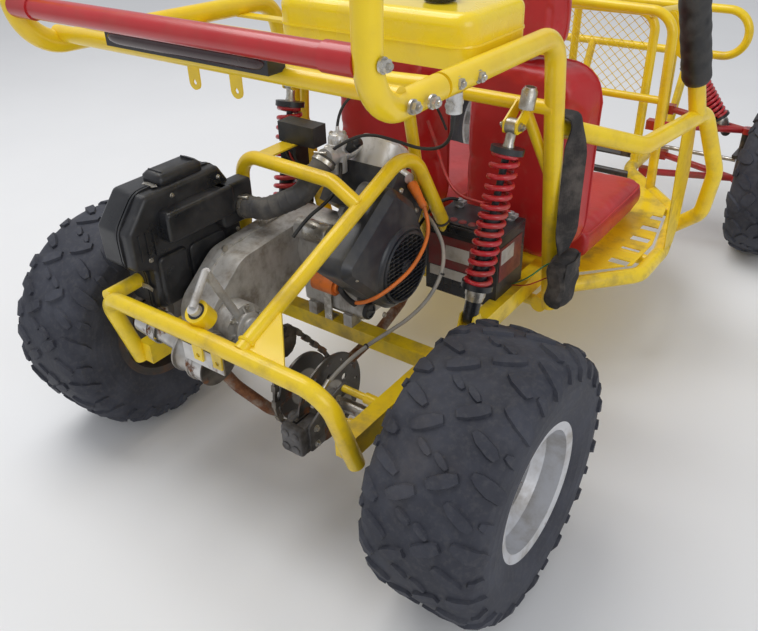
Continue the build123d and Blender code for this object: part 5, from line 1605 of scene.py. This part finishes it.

# Muffler fittings: welts rolled into the can, a clamp band at its tip, and a dark disc inside the tip:
# soot and painted shade of the pipe's hollow. They are plain steel like the can.
can_right, can_left = spot(-30, -155, 403), spot(-250, -155, 432)
can_way = unit(can_left - can_right)
band = lathe(strip(0.009, 0.009, 0.0302, 0.0322), can_left - can_way * 0.052, can_way, 48, ring=True)
welt = [
    lathe(strip(0.002, 0.002, 0.0495, 0.0548), can_right + can_way * x, can_way, 64, ring=True)
    for x in (0.036, 0.078)
]
band_bolt = placed(BOLT, [can_left - can_way * 0.052 + [0, -0.030, 0.010]], (0, -1, 0.2))
piece("muffler_bands", joined(band, *welt, band_bolt), muffler_steel, "chassis")
end_disc = lathe(
    [(-0.001, 0.052), (-0.0035, 0.051), (-0.0045, 0.044), (-0.0030, 0.030), (-0.0045, 0.012)], can_right,
    can_way, 64,
)
piece("muffler_end_disc", end_disc, chain_steel, "chassis")
# Soot and painted shade: a dark disc closes the tip just inside, where the pipe's hollow lies in shade.
soot_and_shade = rusted("tip_soot_and_shade", colour(0.05, 0.035, 0.025), 0.85, 0.7)
tip_inside = lathe(
    [(0.0, 0.0), (0.0, 0.0215), (-0.03, 0.0215), (-0.03, 0.0)], can_left - can_way * 0.004, can_way, 40
)
piece("tail_pipe_soot_and_shade", tip_inside, soot_and_shade, "chassis")

# Front end: black knuckles, plated tie rods, a black steering wheel of rubber over steel with finger waves,
# and black pedals with ribbed rubber pads.
black_paint = paint(
    "black_paint", colour(0.020, 0.020, 0.022), colour(0.035, 0.033, 0.032), colour(0.24, 0.19, 0.15), 0.35,
    0.72,
)
grip_rubber = rubber("grip_rubber", colour(0.014, 0.014, 0.015), colour(0.060, 0.058, 0.055), 0.5)
dress(black_paint, "knuckle_left", "knuckle_right", "steering_rack", "steering_column", "pedals")
dress(plated_steel, "tie_rods")
dress(grip_rubber, "steering_wheel", "rear_bush")
WHEEL_AXIS = unit(np.array([0.0, -390, 240]))
wheel_hub = spot(-205, 1110, 800)
rim_turn = np.arange(160) * (2 * np.pi / 160)
rim_path = wheel_hub + WHEEL_AXIS * 0.003 + 0.142 * round_axis(rim_turn, WHEEL_AXIS)
finger = 0.0136 + 0.0007 * np.cos(rim_turn * 40)
piece(
    "wheel_grip", carried(rim_path, WHEEL_AXIS, circle(1, 20)[None] * finger[:, None, None], closed=True),
    grip_rubber, "steering",
)
hub_pad = lathe(
    [(0.004, 0.046), (0.010, 0.044), (0.016, 0.034), (0.018, 0.018), (0.0185, 0.004)], wheel_hub,
    WHEEL_AXIS, 40,
)
piece("wheel_hub_pad", hub_pad, black_plastic, "steering")
spoke_bolts = ring_of(6, 0.034, wheel_hub + WHEEL_AXIS * 0.0155, WHEEL_AXIS, 0.25)
piece(
    "wheel_hub_bolts", placed(BOLT, spoke_bolts, WHEEL_AXIS, sizes=0.7), plated_steel, "steering",
)
pedal_ribs = []
for x in (-192, -98):
    for k in range(6):
        y, z = 1485 - 2.6 * k, 401 + 11 * k
        pedal_ribs.append(
            carried(
                [spot(x - 31, y - 4.5, z), spot(x + 31, y - 4.5, z)], (0, 0, 1),
                strip(0.003, 0.002, -0.003, 0.003),
            )
        )
piece("pedal_ribs", joined(*pedal_ribs), grip_rubber, "chassis")

# Pillar sleeves: padded vinyl wrapped round the front pillars and laced.
# It is creased across in close, uneven folds.
vinyl_black = rubber("vinyl_black", colour(0.014, 0.014, 0.015), colour(0.062, 0.060, 0.057), 0.42)
foot, roof = np.array((517.0, 1020, 690)), np.array((437.0, 735, 1485))
for side, hand in SIDES:
    ends = [spot(*(foot + (roof - foot) * s) * [side, 1, 1]) for s in (0.102, 0.778)]
    steps = 150
    share = np.linspace(0, 1, steps)
    wrap_path = ends[0] + (ends[1] - ends[0]) * share[:, None]
    round_turn = np.arange(36) * (2 * np.pi / 36)
    folds = np.sin(
        share[:, None] * 74 + 1.6 * np.sin(round_turn + share[:, None] * 9)
    ) * np.sin(share[:, None] * 23 + round_turn * 2)
    ends_in = np.clip(np.minimum(share, 1 - share) / 0.03, 0, 1)[:, None] ** 0.5
    wrap_radius = 0.0225 + 0.0125 * ends_in + 0.0011 * folds * ends_in
    wrap_outline = np.stack([wrap_radius * np.cos(round_turn), wrap_radius * np.sin(round_turn)], -1)
    piece(
        f"pillar_sleeve_{hand}", carried(wrap_path, (0, 1, 0), wrap_outline), vinyl_black, "chassis",
        ["pillar_sleeves"] if side > 0 else [], 180,
    )

# Guard in the nose: yellow expanded mesh, cut in slits and stretched into diamonds.
# It is welded into its frame of tubes.
DIAMOND_WIDE, DIAMOND_HIGH, STRAND = 0.034, 0.017, 0.0022
guard_low, guard_high = (np.array(corner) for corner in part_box("mesh_guard"))
columns = int((guard_high[0] - guard_low[0]) / DIAMOND_WIDE)
rows = int((guard_high[2] - guard_low[2]) / DIAMOND_HIGH)
strand_count = rows + 1
guard_y = (guard_low[1] + guard_high[1]) / 2
stations = np.arange(2 * columns + 1)
strands = []
for k in range(strand_count):
    x = guard_low[0] + stations * (guard_high[0] - guard_low[0]) / (2 * columns)
    lift = np.where((stations + k) % 2 == 0, 0.5, -0.5) * DIAMOND_HIGH * 0.92
    z = guard_low[2] + 0.010 + k * (guard_high[2] - guard_low[2] - 0.020) / (strand_count - 1) + lift
    z = np.clip(z, guard_low[2] + 0.002, guard_high[2] - 0.002)
    strand_path = np.column_stack([x, np.full(len(x), guard_y), z])
    strands.append(carried(strand_path, (0, 1, 0), strip(STRAND / 2, STRAND / 2, -0.0013, 0.0013)))
piece("expanded_mesh_guard", joined(*strands), yellow_paint, "chassis", ["mesh_guard"])

# Frame hardware: plated bolts at the cage's joints and the caliper's holders, and weld beads where tubes
# meet. The beads are rippled rings of the same yellow paint.
cage_joints = [(421.5, -112, 994), (421.5, -62, 988), (424, -182, 1066), (399.5, 108, 980), (399.5, 44, 985)]
bolt_spots = np.array([spot(side * x, y, z) for side in (1, -1) for x, y, z in cage_joints])
bolt_ways = np.array([(side, 0, 0) for side in (1, -1) for _ in cage_joints], float)
piece("cage_bolts", placed(NUT, bolt_spots, bolt_ways, sizes=1.05), plated_steel, "chassis")
holder_bolts = np.array([spot(166, -18, 309), spot(166, -62, 300), spot(166, -92, 238), spot(166, -92, 278)])
piece("caliper_bolts", placed(BOLT, holder_bolts, (1, 0, 0)), plated_steel, "chassis")


def bead(middle, along, radius, thick=0.0032):
    """A weld bead round a tube: a ring whose thickness follows short even waves."""
    turn = np.arange(90) * (2 * np.pi / 90)
    ring_path = np.asarray(middle) + radius * round_axis(turn, along)
    swell = thick * (1 + 0.16 * np.cos(turn * 22) + 0.08 * np.sin(turn * 5))
    return carried(ring_path, along, circle(1, 7)[None] * swell[:, None, None], closed=True)


arch_low, arch_top, arch_front = np.array((
    98.0, -203, 510
)), np.array((118.0, 325, 742)), np.array((136.0, 560, 320))
beads = [bead(spot(side * 366, 540, 622), (side * 0.06, -0.4, 0.9), 0.0215, 0.0028) for side in (1, -1)]
beads.append(bead(spot(*(arch_low + (arch_top - arch_low) * 0.035)), arch_top - arch_low, 0.0165))
beads.append(bead(spot(*(arch_front + (arch_top - arch_front) * 0.04)), arch_top - arch_front, 0.0165))
piece("weld_beads", joined(*beads), yellow_paint, "chassis")

# Small fittings: a black sleeve and ties on the arch's front leg, a plated cup above the right spring,
# and two flat tabs with holes under the rear rail.
leg = arch_front - arch_top
sleeve_at = [spot(*(arch_top + leg * t)) for t in (0.735, 0.875)]
sleeve = lathe(
    [(0, 0.0164), (0, 0.0182), (0.058, 0.0184), (0.060, 0.0164)],
    sleeve_at[0],
    sleeve_at[1] - sleeve_at[0],
    40,
    ring=True,
)
leg_ties = [
    lathe(
        [(-0.0035, 0.0163), (-0.0035, 0.0178), (0.0035, 0.0178), (0.0035, 0.0163)],
        spot(*(arch_top + leg * t)),
        leg,
        32,
        ring=True,
    )
    for t in (0.52, 0.68)
]
piece("arch_leg_sleeve", joined(sleeve, *leg_ties), hose_rubber, "chassis")
cup = lathe(
    [
        (-0.020, 0.0135), (-0.020, 0.0165), (0.016, 0.0165), (0.022, 0.0125), (0.024, 0.0125),
        (0.024, 0.0095), (0.016, 0.0135),
    ],
    spot(330, 438, 848),
    (0.1, 0.1, 1),
    32,
    ring=True,
)
piece("spring_cup_bracket", cup, plated_steel, "chassis")


def drilled_tab(width, height, hole, thick):
    """A flat tab with a round foot and a hole: outer and inner outlines share their number of points."""
    turn = np.linspace(np.pi, 2 * np.pi, 21)
    outer = np.vstack([
        [(width / 2, height), (0, height), (-width / 2, height)],
        np.column_stack([width / 2 * np.cos(turn), width / 2 * np.sin(turn)]),
    ])
    around = np.arctan2(outer[:, 1], outer[:, 0])
    inner = hole * np.column_stack([np.cos(around), np.sin(around)])
    rows = [
        np.column_stack([outline, np.full(len(outline), z)])
        for outline, z in ((outer, 0), (outer, thick), (inner, thick), (inner, 0))
    ]
    return grid(np.stack(rows), close_rows=True, close_columns=True)


tab = drilled_tab(0.026, 0.030, 0.0048, 0.003)
tab_spots = np.array([spot(x, -107, 963) for x in (-24, 75)])
piece("lamp_tabs", placed(tab, tab_spots, (0, -1, 0)), yellow_paint, "chassis")

low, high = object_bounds()
